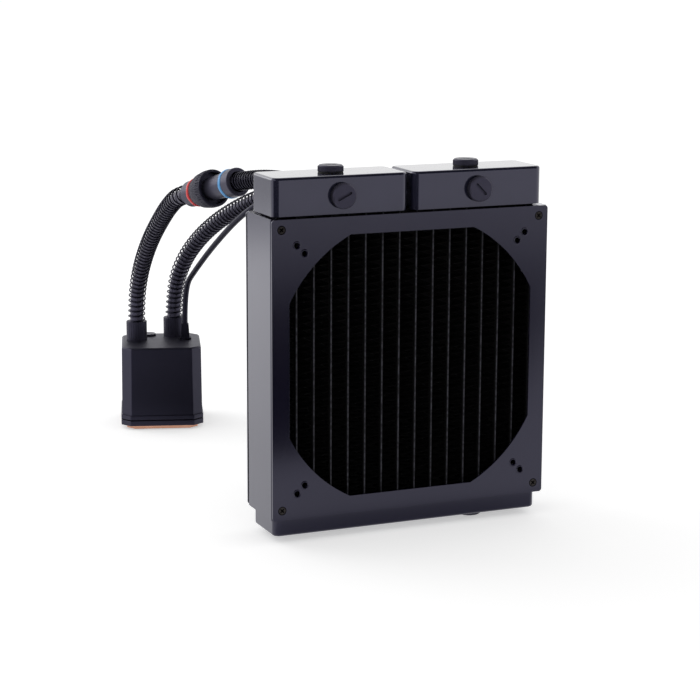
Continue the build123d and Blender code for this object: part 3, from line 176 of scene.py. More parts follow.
# Cards that only reflections see: their colours, the heights of those that lie on the floor, and the
# wall and ceiling of the dark side of the room
DARK_CARD = "#232327"
DEEP_CARD = "#141416"
PALE_CARD = "#dcdce2"
# This pale card is painted shade: the shaded floor at the radiator's foot, as reflections see it
FOOT_SHADE_CARD = "#f0f0f8"
ON_FLOOR = 0.001
OVER_CARDS = 0.002
ROOM_HALF = 4.0
ROOM_FRONT = -3.0
ROOM_HEIGHT = 4.0
WALL_FOOT = 0.15
CEILING_BACK = 0.6


def linear(colour):
    """An sRGB hex colour as the linear colour that a shader takes."""
    channels = [int(colour[index:index + 2], 16) / 255 for index in (1, 3, 5)]
    straight = [c / 12.92 if c <= 0.04045 else ((c + 0.055) / 1.055) ** 2.4 for c in channels]
    return (*straight, 1.0)


def add(tree, kind, inputs=None, **settings):
    """A new node, with its settings, and with its inputs as values or as links from other sockets."""
    node = tree.nodes.new(kind)
    for name, value in settings.items():
        setattr(node, name, value)
    for key, value in (inputs or {}).items():
        if isinstance(value, bpy.types.NodeSocket):
            tree.links.new(value, node.inputs[key])
        else:
            node.inputs[key].default_value = value
    return node


def placed(name, data):
    """A new object for its data, in the scene."""
    made = bpy.data.objects.new(name, data)
    bpy.context.scene.collection.objects.link(made)
    return made


# Materials: what they share

# Black plastics, rubbers and enamels here all glance a little violet
COOL_SHEEN = linear("#cdc9f8")

# A Wave node's bands stand this far apart at scale 1
WAVE_PERIOD = 0.314


def finish(name, colour, roughness, **sockets):
    """A new material with one surface shader; gives it, its tree, its shader and the place on the piece."""
    material = bpy.data.materials.new(name)
    material.use_nodes = True
    tree = material.node_tree
    shader = tree.nodes["Principled BSDF"]
    shader.inputs["Base Color"].default_value = linear(colour)
    shader.inputs["Roughness"].default_value = roughness
    for key, value in sockets.items():
        shader.inputs[key.replace("_", " ")].default_value = value
    place = add(tree, "ShaderNodeTexCoord").outputs["Object"]
    return material, tree, shader, place


def mottled(tree, shader, place, size, low, high):
    """Cloudy variation between two colours, its patches about as large as size."""
    cloud = add(tree, "ShaderNodeTexNoise", {"Vector": place, "Scale": 1 / size, "Detail": 3.0})
    # Mix takes its share at socket 0 and its two colours at sockets 6 and 7
    blend = add(tree, "ShaderNodeMix", {
        0: cloud.outputs["Fac"], 6: linear(low), 7: linear(high),
    }, data_type="RGBA")
    tree.links.new(blend.outputs[2], shader.inputs["Base Color"])


def uneven_gloss(tree, shader, place, size, low, high):
    """Roughness that drifts between two values over the surface."""
    cloud = add(tree, "ShaderNodeTexNoise", {"Vector": place, "Scale": 1 / size, "Detail": 2.0})
    drift = add(tree, "ShaderNodeMapRange", {
        "Value": cloud.outputs["Fac"], "To Min": low, "To Max": high,
    })
    tree.links.new(drift.outputs["Result"], shader.inputs["Roughness"])


def grained(tree, shader, place, size, depth, detail=2.0, stretch=(1.0, 1.0, 1.0)):
    """A bumpy surface, its grain about as large as size and as deep as depth."""
    mapped = add(tree, "ShaderNodeMapping", {"Vector": place, "Scale": stretch})
    grain = add(tree, "ShaderNodeTexNoise", {
        "Vector": mapped.outputs[0], "Scale": 1 / size, "Detail": detail,
    })
    bump = add(tree, "ShaderNodeBump", {"Height": grain.outputs["Fac"], "Distance": depth})
    tree.links.new(bump.outputs["Normal"], shader.inputs["Normal"])


def ribbed(tree, shader, place, spacing, depth, direction):
    """Fine ribs across one direction, that far apart and that deep."""
    ribs = add(tree, "ShaderNodeTexWave", {
        "Vector": place, "Scale": WAVE_PERIOD / spacing,
    }, wave_type="BANDS", bands_direction=direction)
    bump = add(tree, "ShaderNodeBump", {"Height": ribs.outputs["Fac"], "Distance": depth})
    tree.links.new(bump.outputs["Normal"], shader.inputs["Normal"])


# Materials: one for each real finish

def satin_enamel():
    """Satin stoving enamel sprayed on folded steel: deep black face on, greyer at a glance, slight peel."""
    material, tree, shader, place = finish(
        "satin_stoving_enamel", "#0c0a19", 0.19, Specular_Tint=COOL_SHEEN,
        Coat_Weight=0.55, Coat_Roughness=0.18, Coat_Tint=linear("#f0f0fa"),
    )
    mottled(tree, shader, place, 40 * MM, "#0b0916", "#100e20")
    uneven_gloss(tree, shader, place, 18 * MM, 0.17, 0.21)
    grained(tree, shader, place, 1.4 * MM, 0.006 * MM)
    return material


def gloss_enamel():
    """Thicker enamel on the soldered brass tanks: glossier than the sheet, with a softly wavy surface."""
    material, tree, shader, place = finish(
        "gloss_tank_enamel", "#1b1b2a", 0.17, Specular_Tint=COOL_SHEEN, Specular_IOR_Level=0.6,
        Coat_Weight=0.65, Coat_Roughness=0.12,
    )
    mottled(tree, shader, place, 30 * MM, "#191926", "#1f1f2f")
    uneven_gloss(tree, shader, place, 12 * MM, 0.15, 0.2)
    grained(tree, shader, place, 12 * MM, 0.016 * MM, detail=1.0)
    return material


def core_enamel():
    """Thin black dip over the brass tubes: dull, with a broken grey painted highlight along the crests."""
    material, tree, shader, place = finish(
        "dipped_core_enamel", "#08080a", 0.6, Specular_IOR_Level=0.15,
    )
    # A painted highlight along the middle of each tube's edge, about 0.7 mm wide, broken into dashes 4 mm
    # long. It is full and gone at these shares of the tubes' pitch.
    full, gone = 0.015, 0.045
    across = add(tree, "ShaderNodeSeparateXYZ", {0: place}).outputs["X"]
    tubes = add(tree, "ShaderNodeMath", {0: across, 1: TUBE_PITCH}, operation="DIVIDE")
    half = add(tree, "ShaderNodeMath", {0: tubes.outputs[0]}, operation="FRACT")
    off = add(tree, "ShaderNodeMath", {0: half.outputs[0], 1: 0.5}, operation="SUBTRACT")
    away = add(tree, "ShaderNodeMath", {0: off.outputs[0]}, operation="ABSOLUTE")
    crest = add(tree, "ShaderNodeMapRange", {
        "Value": away.outputs[0], "From Min": gone, "From Max": full,
    })
    patches = add(tree, "ShaderNodeTexNoise", {
        "Vector": place, "Scale": 1 / (2.2 * MM), "Detail": 1.0,
    })
    bare = add(tree, "ShaderNodeMapRange", {
        "Value": patches.outputs["Fac"], "From Min": 0.4, "From Max": 0.6, "To Min": 0.35,
    })
    share = add(tree, "ShaderNodeMath", {0: crest.outputs[0], 1: bare.outputs[0]}, operation="MULTIPLY")
    # The near black is the dip, and the grey is the painted highlight
    blend = add(tree, "ShaderNodeMix", {
        0: share.outputs[0], 6: linear("#060608"), 7: linear("#4a4a52"),
    }, data_type="RGBA")
    tree.links.new(blend.outputs[2], shader.inputs["Base Color"])
    grained(tree, shader, place, 0.8 * MM, 0.02 * MM)
    return material


def fin_enamel():
    """The same dip on the thin copper fins: nearly black, and rough with the louvres cut across them."""
    material, tree, shader, place = finish(
        "dipped_fin_enamel", "#040405", 0.85, Specular_IOR_Level=0.1,
    )
    mottled(tree, shader, place, 3 * MM, "#020203", "#070708")
    # Louvres stand 1.2 mm apart along the fins' depth
    ribbed(tree, shader, place, 1.2 * MM, 0.15 * MM, "Y")
    return material


def blackened_steel():
    """Steel screws blackened in a hot bath: oily heads, with painted shade in the recess and round the
    edge.
    """
    steel, recess_shade = "#3f3c3b", "#060606"
    material, tree, shader, place = finish("blackened_steel", steel, 0.34, Metallic=1.0)
    spot = add(tree, "ShaderNodeSeparateXYZ", {0: place})
    shifted = add(tree, "ShaderNodeMath", {0: spot.outputs["Y"], 1: -FRAME_MIDDLE_Y}, operation="ADD")
    depth = add(tree, "ShaderNodeMath", {0: shifted.outputs[0]}, operation="ABSOLUTE")
    sunk = add(tree, "ShaderNodeMath", {
        0: depth.outputs[0], 1: FRAME_HALF_DEPTH - SHADE_DEPTH,
    }, operation="LESS_THAN")
    aside = add(tree, "ShaderNodeMath", {0: spot.outputs["X"]}, operation="ABSOLUTE")
    level = add(tree, "ShaderNodeMath", {0: spot.outputs["Z"], 1: -FRAME_CENTRE_Z}, operation="ADD")
    above = add(tree, "ShaderNodeMath", {0: level.outputs[0]}, operation="ABSOLUTE")
    flat = add(tree, "ShaderNodeCombineXYZ", {0: aside.outputs[0], 1: above.outputs[0]})
    away = add(tree, "ShaderNodeVectorMath", {
        0: flat.outputs[0], 1: (FRAME_SCREW_OFFSET, FRAME_SCREW_OFFSET, 0.0),
    }, operation="DISTANCE")
    edge = add(tree, "ShaderNodeMath", {
        0: away.outputs["Value"], 1: SHADE_RADIUS,
    }, operation="GREATER_THAN")
    # Painted shade: the head darkens in its recess and outside its rim
    shaded = add(tree, "ShaderNodeMath", {0: sunk.outputs[0], 1: edge.outputs[0]}, operation="MAXIMUM")
    blend = add(tree, "ShaderNodeMix", {
        0: shaded.outputs[0], 6: linear(steel), 7: linear(recess_shade),
    }, data_type="RGBA")
    tree.links.new(blend.outputs[2], shader.inputs["Base Color"])
    uneven_gloss(tree, shader, place, 1.5 * MM, 0.28, 0.45)
    grained(tree, shader, place, 0.3 * MM, 0.006 * MM)
    return material


def moulded_acetal():
    """Injection-moulded acetal plugs: waxy, softly glossy black with hardly any grain."""
    material, tree, shader, place = finish("moulded_acetal", "#393742", 0.36, Specular_Tint=COOL_SHEEN)
    mottled(tree, shader, place, 6 * MM, "#34323c", "#3e3c48")
    grained(tree, shader, place, 0.5 * MM, 0.006 * MM)
    return material


def nitrile_rubber():
    """Moulded nitrile rings: dull black that takes no highlight."""
    material, tree, shader, place = finish("nitrile_rubber", "#0d0d0e", 0.65)
    grained(tree, shader, place, 0.4 * MM, 0.01 * MM)
    return material


def turned_brass():
    """Turned brass: yellow metal with fine cutting marks and a cloudy tarnish."""
    material, tree, shader, place = finish("turned_brass", "#b89a55", 0.28, Metallic=1.0)
    mottled(tree, shader, place, 4 * MM, "#a98b48", "#c2a560")
    grained(tree, shader, place, 0.3 * MM, 0.008 * MM)
    return material


def moulded_nylon():
    """Nylon hose ends with glass fibre: black, slightly mottled and faintly rough to the touch."""
    material, tree, shader, place = finish("moulded_nylon", "#25242d", 0.5, Specular_Tint=COOL_SHEEN)
    mottled(tree, shader, place, 1.2 * MM, "#201f27", "#2c2b35")
    grained(tree, shader, place, 0.35 * MM, 0.015 * MM, detail=4.0)
    return material


def lapped_copper():
    """Copper lapped flat on fine grit: warm metal with short parallel scratches and a faint tarnish."""
    material, tree, shader, place = finish("lapped_copper", "#dba283", 0.27, Metallic=1.0)
    mottled(tree, shader, place, 8 * MM, "#d0967a", "#e4b096")
    uneven_gloss(tree, shader, place, 6 * MM, 0.22, 0.34)
    grained(tree, shader, place, 0.25 * MM, 0.006 * MM, stretch=(0.04, 1.0, 1.0))
    return material


def stainless_steel():
    """Drawn stainless wire and strip: grey metal with lines along it."""
    material, tree, shader, place = finish("drawn_stainless_steel", "#a3a3a5", 0.28, Metallic=1.0)
    grained(tree, shader, place, 0.2 * MM, 0.004 * MM, stretch=(1.0, 0.1, 1.0))
    return material


def moulded_abs():
    """ABS housing from a spark-eroded mould: an even matt grain that greys the black at a low angle."""
    material, tree, shader, place = finish(
        "spark_grained_abs", "#0a0a10", 0.46, Specular_Tint=COOL_SHEEN, Specular_IOR_Level=0.7,
    )
    mottled(tree, shader, place, 25 * MM, "#09090e", "#0c0c13")
    uneven_gloss(tree, shader, place, 9 * MM, 0.44, 0.52)
    grained(tree, shader, place, 0.45 * MM, 0.018 * MM, detail=3.0)
    return material


def glass_filled_plastic():
    """Glass-filled sulphide plastic of the wet parts: dark grey-brown, dull, streaked by its fibres."""
    material, tree, shader, place = finish("glass_filled_sulphide_plastic", "#2a2826", 0.5)
    mottled(tree, shader, place, 2 * MM, "#24221f", "#33302d")
    grained(tree, shader, place, 0.4 * MM, 0.012 * MM, stretch=(0.3, 1.0, 1.0))
    return material


def alumina():
    """Ground alumina ceramic shaft: ivory white, dense and polished."""
    material, tree, shader, place = finish("ground_alumina", "#e6e2d8", 0.18)
    mottled(tree, shader, place, 1 * MM, "#e0dbcf", "#ece9e0")
    return material


def bonded_ferrite():
    """Pressed ferrite magnet: dark iron grey with a sandy surface."""
    material, tree, shader, place = finish("bonded_ferrite", "#2c2c2f", 0.55)
    mottled(tree, shader, place, 0.6 * MM, "#232326", "#38383c")
    grained(tree, shader, place, 0.3 * MM, 0.02 * MM)
    return material


def enamelled_winding():
    """Copper wire in clear red-brown enamel, wound side by side: fine bright lines across the coil."""
    material, tree, shader, place = finish("enamelled_copper_wire", "#a3552c", 0.25, Metallic=1.0)
    # The wire is 0.3 mm thick
    ribbed(tree, shader, place, 0.3 * MM, 0.12 * MM, "Z")
    return material


def epoxy_board():
    """Woven glass and epoxy board under green solder mask: glossy, its weave just showing."""
    material, tree, shader, place = finish("glass_epoxy_board", "#17452a", 0.3)
    mottled(tree, shader, place, 1.0 * MM, "#143e25", "#1d5233")
    grained(tree, shader, place, 0.6 * MM, 0.01 * MM)
    return material


def hose_rubber():
    """Extruded rubber hose: dull dark grey, clouded with bloom and finely rough."""
    material, tree, shader, place = finish(
        "extruded_hose_rubber", "#45434f", 0.36, Specular_Tint=COOL_SHEEN,
    )
    mottled(tree, shader, place, 3 * MM, "#3f3d48", "#4c4a57")
    grained(tree, shader, place, 0.6 * MM, 0.02 * MM)
    return material


def coated_wire():
    """Spring steel in a black plastic coat: near black, with one narrow highlight along each turn."""
    material, tree, shader, place = finish(
        "plastic_coated_spring_wire", "#040406", 0.3, Specular_Tint=COOL_SHEEN,
    )
    grained(tree, shader, place, 0.5 * MM, 0.006 * MM)
    return material


def boot_rubber():
    """Moulded soft boot: matt black with a slightly chalky bloom."""
    material, tree, shader, place = finish("moulded_boot_rubber", "#121218", 0.6, Specular_Tint=COOL_SHEEN)
    mottled(tree, shader, place, 2 * MM, "#0f0f14", "#17171e")
    return material


def coupling_nylon():
    """Moulded nylon coupling halves: mid grey-black, satin, with a soft moulded skin."""
    material, tree, shader, place = finish(
        "moulded_coupling_nylon", "#3b3a46", 0.38, Specular_Tint=COOL_SHEEN,
    )
    mottled(tree, shader, place, 5 * MM, "#363540", "#41404c")
    grained(tree, shader, place, 0.5 * MM, 0.01 * MM)
    return material


def collar_nylon():
    """The hand collar's tougher nylon: matt, so its knurls read as fine even lines."""
    material, tree, shader, place = finish(
        "moulded_collar_nylon", "#16151d", 0.55, Specular_Tint=COOL_SHEEN,
    )
    mottled(tree, shader, place, 4 * MM, "#13121a", "#1a1922")
    return material


def mark_abs(name, colour, low, high):
    """Self-coloured ABS of a mark ring: bright, even and lightly glossy."""
    material, tree, shader, place = finish(name, colour, 0.35)
    mottled(tree, shader, place, 3 * MM, low, high)
    return material


def tinned_contact():
    """Tin plate on bronze contacts: soft silvery metal, slightly cloudy."""
    material, tree, shader, place = finish("tinned_bronze", "#c9c5ba", 0.3, Metallic=1.0)
    uneven_gloss(tree, shader, place, 0.8 * MM, 0.22, 0.4)
    return material


def pvc_jacket():
    """Extruded PVC cable jacket: black, with a low even sheen."""
    material, tree, shader, place = finish("extruded_pvc_jacket", "#0b0a12", 0.5, Specular_Tint=COOL_SHEEN)
    mottled(tree, shader, place, 4 * MM, "#09090e", "#0e0e14")
    grained(tree, shader, place, 0.5 * MM, 0.01 * MM)
    return material


SATIN_ENAMEL = satin_enamel()
GLOSS_ENAMEL = gloss_enamel()
FIN_ENAMEL = fin_enamel()
HOSE = hose_rubber()
WIRE = coated_wire()
JACKET = pvc_jacket()
ACETAL = moulded_acetal()
COLLAR = collar_nylon()
FINISHES = {
    "black_paint": SATIN_ENAMEL,
    "core_paint": core_enamel(),
    "black_screw": blackened_steel(),
    "plug_plastic": ACETAL,
    "seal_rubber": nitrile_rubber(),
    "brass": turned_brass(),
    "fitting_plastic": moulded_nylon(),
    "copper": lapped_copper(),
    "steel": stainless_steel(),
    "housing_plastic": moulded_abs(),
    "inner_plastic": glass_filled_plastic(),
    "shaft_ceramic": alumina(),
    "magnet": bonded_ferrite(),
    "winding": enamelled_winding(),
    "board": epoxy_board(),
    "hose_rubber": HOSE,
    "boot_rubber": boot_rubber(),
    "coupling_plastic": coupling_nylon(),
    "collar_plastic": COLLAR,
    "red_ring": mark_abs("red_mark_abs", "#e23a3c", "#dc3336", "#e84446"),
    "blue_ring": mark_abs("blue_mark_abs", "#5fa9e6", "#569fdf", "#6cb3ec"),
    "contact_metal": tinned_contact(),
    "cable_jacket": JACKET,
}
SLOTS = {part["node"]: part["material_slot"] for part in frame["record"]["subparts"]}
TANKS = ("inlet_tank", "outlet_tank")


def finish_of(node):
    """The material that a solid's finish is in: the top tanks are glossier than the folded sheet."""
    return GLOSS_ENAMEL if node in TANKS else FINISHES[SLOTS[node]]


for node, solid in frame["nodes"].items():
    solid.data.materials.clear()
    solid.data.materials.append(finish_of(node))


# Meshes

def piece(name, mesh, body):
    """A new object for a finished mesh, riding on a body."""
    made = placed(name, mesh)
    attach(made, body)
    return made


def baked(source):
    """The plain mesh that an object's modifiers make."""
    graph = bpy.context.evaluated_depsgraph_get()
    return bpy.data.meshes.new_from_object(source.evaluated_get(graph), depsgraph=graph)


def softened(node, width):
    """A copy of a solid with its sharp edges rounded off, as pressing, painting or moulding leaves them."""
    solid = frame["nodes"][node]
    mesh = bpy.data.meshes.new(node + "_skin")
    work = bmesh.new()
    work.from_mesh(solid.data)
    bmesh.ops.remove_doubles(work, verts=work.verts, dist=MERGE)
    bmesh.ops.dissolve_limit(work, angle_limit=FLAT, verts=work.verts, edges=work.edges)
    work.to_mesh(mesh)
    work.free()
    mesh.materials.append(finish_of(node))
    mesh.shade_smooth()
    made = piece(node + "_skin", mesh, solid["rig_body"])
    rounding = made.modifiers.new("rounding", "BEVEL")
    rounding.width = width
    rounding.segments = 2
    rounding.limit_method = "ANGLE"
    rounding.angle_limit = EDGE
    flats = made.modifiers.new("flats", "WEIGHTED_NORMAL")
    flats.weight = 100
    made.data = baked(made)
    made.modifiers.clear()
    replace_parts(made, node)
    return made


# Geometry Nodes

def geometry_tree(name, inputs):
    """A new geometry tree with named inputs; gives the tree, its input node and its output node."""
    tree = bpy.data.node_groups.new(name, "GeometryNodeTree")
    tree.interface.new_socket(name="Geometry", in_out="INPUT", socket_type="NodeSocketGeometry")
    tree.interface.new_socket(name="Geometry", in_out="OUTPUT", socket_type="NodeSocketGeometry")
    for label, kind in inputs.items():
        tree.interface.new_socket(name=label, in_out="INPUT", socket_type="NodeSocket" + kind)
    return tree, tree.nodes.new("NodeGroupInput"), tree.nodes.new("NodeGroupOutput")


def finished(tree, shape, given, result):
    """The end of a tree: real geometry, smooth, in its material."""
    real = add(tree, "GeometryNodeRealizeInstances", {0: shape})
    smooth = add(tree, "GeometryNodeSetShadeSmooth", {0: real.outputs[0]})
    painted = add(tree, "GeometryNodeSetMaterial", {
        "Geometry": smooth.outputs[0], "Material": given.outputs["Material"],
    })
    tree.links.new(painted.outputs[0], result.inputs[0])


def shaped(source, tree, values):
    """The plain mesh that a geometry tree makes of an object, which is then removed."""
    modifier = source.modifiers.new(tree.name, "NODES")
    modifier.node_group = tree
    for item in tree.interface.items_tree:
        if item.in_out == "INPUT" and item.name in values:
            modifier[item.identifier] = values[item.name]
    source.update_tag()
    mesh = baked(source)
    bpy.data.objects.remove(source)
    return mesh


def spring_tree():
    """A wire wound round a route: each point moves out from the route and round it, then gets thickness."""
    tree, given, result = geometry_tree("wire_spring", {
        "Pitch": "Float", "Radius": "Float", "Wire Radius": "Float", "Slack": "Float",
        "Thinning": "Float", "Start": "Float", "End": "Float", "Material": "Material",
    })
    whole = add(tree, "GeometryNodeCurveLength", {"Curve": given.outputs["Geometry"]})
    last = add(tree, "ShaderNodeMath", {
        0: whole.outputs["Length"], 1: given.outputs["End"],
    }, operation="SUBTRACT")
    # Trim Curve takes its two lengths at sockets 4 and 5
    cut = add(tree, "GeometryNodeTrimCurve", {
        "Curve": given.outputs["Geometry"], 4: given.outputs["Start"], 5: last.outputs[0],
    }, mode="LENGTH")
    step = add(tree, "ShaderNodeMath", {
        0: given.outputs["Pitch"], 1: STEPS_PER_TURN,
    }, operation="DIVIDE")
    fine = add(tree, "GeometryNodeResampleCurve", {
        "Curve": cut.outputs[0], "Length": step.outputs[0],
    }, mode="LENGTH")
    # The turns up to a place: its length over the pitch, less half the thinning that is reached there
    place = add(tree, "GeometryNodeSplineParameter")
    even = add(tree, "ShaderNodeMath", {
        0: place.outputs["Length"], 1: given.outputs["Pitch"],
    }, operation="DIVIDE")
    thinned = add(tree, "ShaderNodeMath", {
        0: place.outputs["Factor"], 1: given.outputs["Thinning"],
    }, operation="MULTIPLY")
    kept = add(tree, "ShaderNodeMath", {
        0: thinned.outputs[0], 1: -0.5, 2: 1.0,
    }, operation="MULTIPLY_ADD")
    turns = add(tree, "ShaderNodeMath", {0: even.outputs[0], 1: kept.outputs[0]}, operation="MULTIPLY")
    angle = add(tree, "ShaderNodeMath", {0: turns.outputs[0], 1: 2 * math.pi}, operation="MULTIPLY")
    tangent = add(tree, "GeometryNodeInputTangent").outputs[0]
    normal = add(tree, "GeometryNodeInputNormal").outputs[0]
    out = add(tree, "ShaderNodeVectorRotate", {
        "Vector": normal, "Axis": tangent, "Angle": angle.outputs[0],
    })
    reach = add(tree, "ShaderNodeVectorMath", {
        0: out.outputs[0], "Scale": given.outputs["Radius"],
    }, operation="SCALE")
    up = add(tree, "ShaderNodeVectorMath", {0: (0.0, 0.0, 1.0), 1: tangent}, operation="PROJECT")
    across = add(tree, "ShaderNodeVectorMath", {
        0: (0.0, 0.0, 1.0), 1: up.outputs[0],
    }, operation="SUBTRACT")
    lift = add(tree, "ShaderNodeVectorMath", {
        0: across.outputs[0], "Scale": given.outputs["Slack"],
    }, operation="SCALE")
    offset = add(tree, "ShaderNodeVectorMath", {0: reach.outputs[0], 1: lift.outputs[0]})
    wound = add(tree, "GeometryNodeSetPosition", {
        "Geometry": fine.outputs[0], "Offset": offset.outputs[0],
    })
    section = add(tree, "GeometryNodeCurvePrimitiveCircle", {
        "Resolution": 8, "Radius": given.outputs["Wire Radius"],
    })
    wire = add(tree, "GeometryNodeCurveToMesh", {
        "Curve": wound.outputs[0], "Profile Curve": section.outputs[0], "Fill Caps": True,
    })
    finished(tree, wire.outputs[0], given, result)
    return tree


def fin_tree():
    """Strips of folded fin: a line that swings from tube to tube as it climbs, made as deep as the core."""
    tree, given, result = geometry_tree("folded_fins", {
        "Height": "Float", "Period": "Float", "Swing": "Float", "Depth": "Float", "Sheet": "Float",
        "Strips": "Int", "Spacing": "Float", "Material": "Material",
    })
    top = add(tree, "ShaderNodeCombineXYZ", {"Z": given.outputs["Height"]})
    line = add(tree, "GeometryNodeCurvePrimitiveLine", {"End": top.outputs[0]})
    step = add(tree, "ShaderNodeMath", {
        0: given.outputs["Period"], 1: STEPS_PER_TURN,
    }, operation="DIVIDE")
    fine = add(tree, "GeometryNodeResampleCurve", {
        "Curve": line.outputs[0], "Length": step.outputs[0],
    }, mode="LENGTH")
    along = add(tree, "GeometryNodeSplineParameter").outputs["Length"]
    turns = add(tree, "ShaderNodeMath", {0: along, 1: given.outputs["Period"]}, operation="DIVIDE")
    angle = add(tree, "ShaderNodeMath", {0: turns.outputs[0], 1: 2 * math.pi}, operation="MULTIPLY")
    wave = add(tree, "ShaderNodeMath", {0: angle.outputs[0]}, operation="SINE")
    # Steeper than a sine, so that the flanks are straight and only the crests are round
    steep = add(tree, "ShaderNodeMath", {
        0: wave.outputs[0], 1: FIN_STEEPNESS,
    }, operation="MULTIPLY")
    crest = add(tree, "ShaderNodeMath", {0: steep.outputs[0]}, operation="TANH")
    swing = add(tree, "ShaderNodeMath", {
        0: crest.outputs[0], 1: given.outputs["Swing"],
    }, operation="MULTIPLY")
    aside = add(tree, "ShaderNodeCombineXYZ", {"X": swing.outputs[0]})
    folded = add(tree, "GeometryNodeSetPosition", {
        "Geometry": fine.outputs[0], "Offset": aside.outputs[0],
    })
    upright = add(tree, "GeometryNodeSetCurveNormal", {
        "Curve": folded.outputs[0], "Normal": (0.0, 1.0, 0.0),
    }, mode="FREE")
    section = add(tree, "GeometryNodeCurvePrimitiveQuadrilateral", {
        "Width": given.outputs["Depth"], "Height": given.outputs["Sheet"],
    }, mode="RECTANGLE")
    strip = add(tree, "GeometryNodeCurveToMesh", {
        "Curve": upright.outputs[0], "Profile Curve": section.outputs[0], "Fill Caps": True,
    })
    row = add(tree, "GeometryNodeMeshLine", {
        "Count": given.outputs["Strips"],
        "Offset": add(tree, "ShaderNodeCombineXYZ", {"X": given.outputs["Spacing"]}).outputs[0],
    }, mode="OFFSET")
    strips = add(tree, "GeometryNodeInstanceOnPoints", {
        "Points": row.outputs[0], "Instance": strip.outputs[0],
    })
    finished(tree, strips.outputs[0], given, result)
    return tree


def knurl_tree():
    """Ribs round an axis: one rib along the outline that is given, repeated at even turns about Z."""
    tree, given, result = geometry_tree("knurls", {
        "Count": "Int", "Rib Radius": "Float", "Material": "Material",
    })
    section = add(tree, "GeometryNodeCurvePrimitiveCircle", {
        "Resolution": 6, "Radius": given.outputs["Rib Radius"],
    })
    rib = add(tree, "GeometryNodeCurveToMesh", {
        "Curve": given.outputs["Geometry"], "Profile Curve": section.outputs[0], "Fill Caps": True,
    })
    spots = add(tree, "GeometryNodePoints", {"Count": given.outputs["Count"]})
    number = add(tree, "GeometryNodeInputIndex").outputs[0]
    share = add(tree, "ShaderNodeMath", {0: number, 1: given.outputs["Count"]}, operation="DIVIDE")
    angle = add(tree, "ShaderNodeMath", {0: share.outputs[0], 1: 2 * math.pi}, operation="MULTIPLY")
    turn = add(tree, "ShaderNodeCombineXYZ", {"Z": angle.outputs[0]})
    ribs = add(tree, "GeometryNodeInstanceOnPoints", {
        "Points": spots.outputs[0], "Instance": rib.outputs[0], "Rotation": turn.outputs[0],
    })
    finished(tree, ribs.outputs[0], given, result)
    return tree


def rim_tree():
    """Raised rims round holes: one swelling ring, repeated on the points that are given."""
    tree, given, result = geometry_tree("hole_rims", {
        "Radius": "Float", "Bulge": "Float", "Material": "Material",
    })
    circle = add(tree, "GeometryNodeCurvePrimitiveCircle", {
        "Resolution": 32, "Radius": given.outputs["Radius"],
    })
    section = add(tree, "GeometryNodeCurvePrimitiveCircle", {
        "Resolution": 10, "Radius": given.outputs["Bulge"],
    })
    swelling = add(tree, "GeometryNodeCurveToMesh", {
        "Curve": circle.outputs[0], "Profile Curve": section.outputs[0],
    })
    rims = add(tree, "GeometryNodeInstanceOnPoints", {
        "Points": given.outputs["Geometry"], "Instance": swelling.outputs[0],
        "Rotation": (math.pi / 2, 0.0, 0.0),
    })
    finished(tree, rims.outputs[0], given, result)
    return tree


SPRING = spring_tree()
FINS = fin_tree()
KNURLS = knurl_tree()
RIMS = rim_tree()


# Hoses, springs and cable

def smooth_curve(name, points, radius):
    """A curve with those control points, each with that radius."""
    data = bpy.data.curves.new(name, "CURVE")
    data.dimensions = "3D"
    data.resolution_u = 16
    spline = data.splines.new("NURBS")
    spline.points.add(len(points) - 1)
    for knot, point in zip(spline.points, points):
        knot.co = (*point, 1.0)
        knot.radius = radius
    spline.order_u = 3
    spline.use_endpoint_u = True
    return placed(name, data)


def cord_curve(name, points, diameter, material):
    """A cord along its route, as thick as it is."""
    made = smooth_curve(name, points, diameter / 2)
    made.data.bevel_depth = 1.0
    made.data.bevel_resolution = 6
    made.data.materials.append(material)
    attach(made, "cooler")
    return made


def curve_length(points):
    """The real length of a route's smooth curve."""
    bare = smooth_curve("measured_route", points, 1.0)
    places = [vertex.co.copy() for vertex in baked(bare).vertices]
    bpy.data.objects.remove(bare)
    return sum((after - before).length for before, after in zip(places, places[1:]))


def hose(name, node, points, sizes, start, end):
    """One hose in place of its plain solid, in a spring that begins and ends short of the hose's ends."""
    pitch, radius, slack, thinning = sizes
    tube = cord_curve(name, points, HOSE_DIAMETER, HOSE)
    coil = shaped(smooth_curve("spring_route", points, 1.0), SPRING, {
        "Pitch": pitch, "Radius": radius, "Wire Radius": SPRING_WIRE_RADIUS, "Slack": slack,
        "Thinning": thinning, "Start": start, "End": end, "Material": WIRE,
    })
    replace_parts(tube, node)
    curve_length(points)
    piece(name + "_spring", coil, "cooler")


hose("outlet_hose_tube", "outlet_hose", OUTLET_HOSE_POINTS, PULLED_SPRING,
     SLEEVE_HEIGHT, COUPLING_RECESS)
hose("inlet_tank_hose_tube", "inlet_tank_hose", INLET_TANK_HOSE_POINTS, PRESSED_SPRING,
     COUPLING_RECESS, SLEEVE_HEIGHT)
hose("return_hose_tube", "return_hose", RETURN_HOSE_POINTS, OPEN_SPRING,
     SLEEVE_HEIGHT, SLEEVE_HEIGHT)

cable = cord_curve("pump_cable_lead", PUMP_CABLE_POINTS, CABLE_DIAMETER, JACKET)
plug = softened("cable_connector", 0.3 * MM)
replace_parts(cable, "pump_cable")
curve_length(PUMP_CABLE_POINTS)


# Radiator

for node in ("front_frame", "rear_frame"):
    softened(node, 0.5 * MM)
for node in ("side_channel_left", "side_channel_right"):
    softened(node, 0.4 * MM)
for node in (*TANKS, "return_tank"):
    softened(node, 0.7 * MM)
softened("frame_screws", 0.12 * MM)


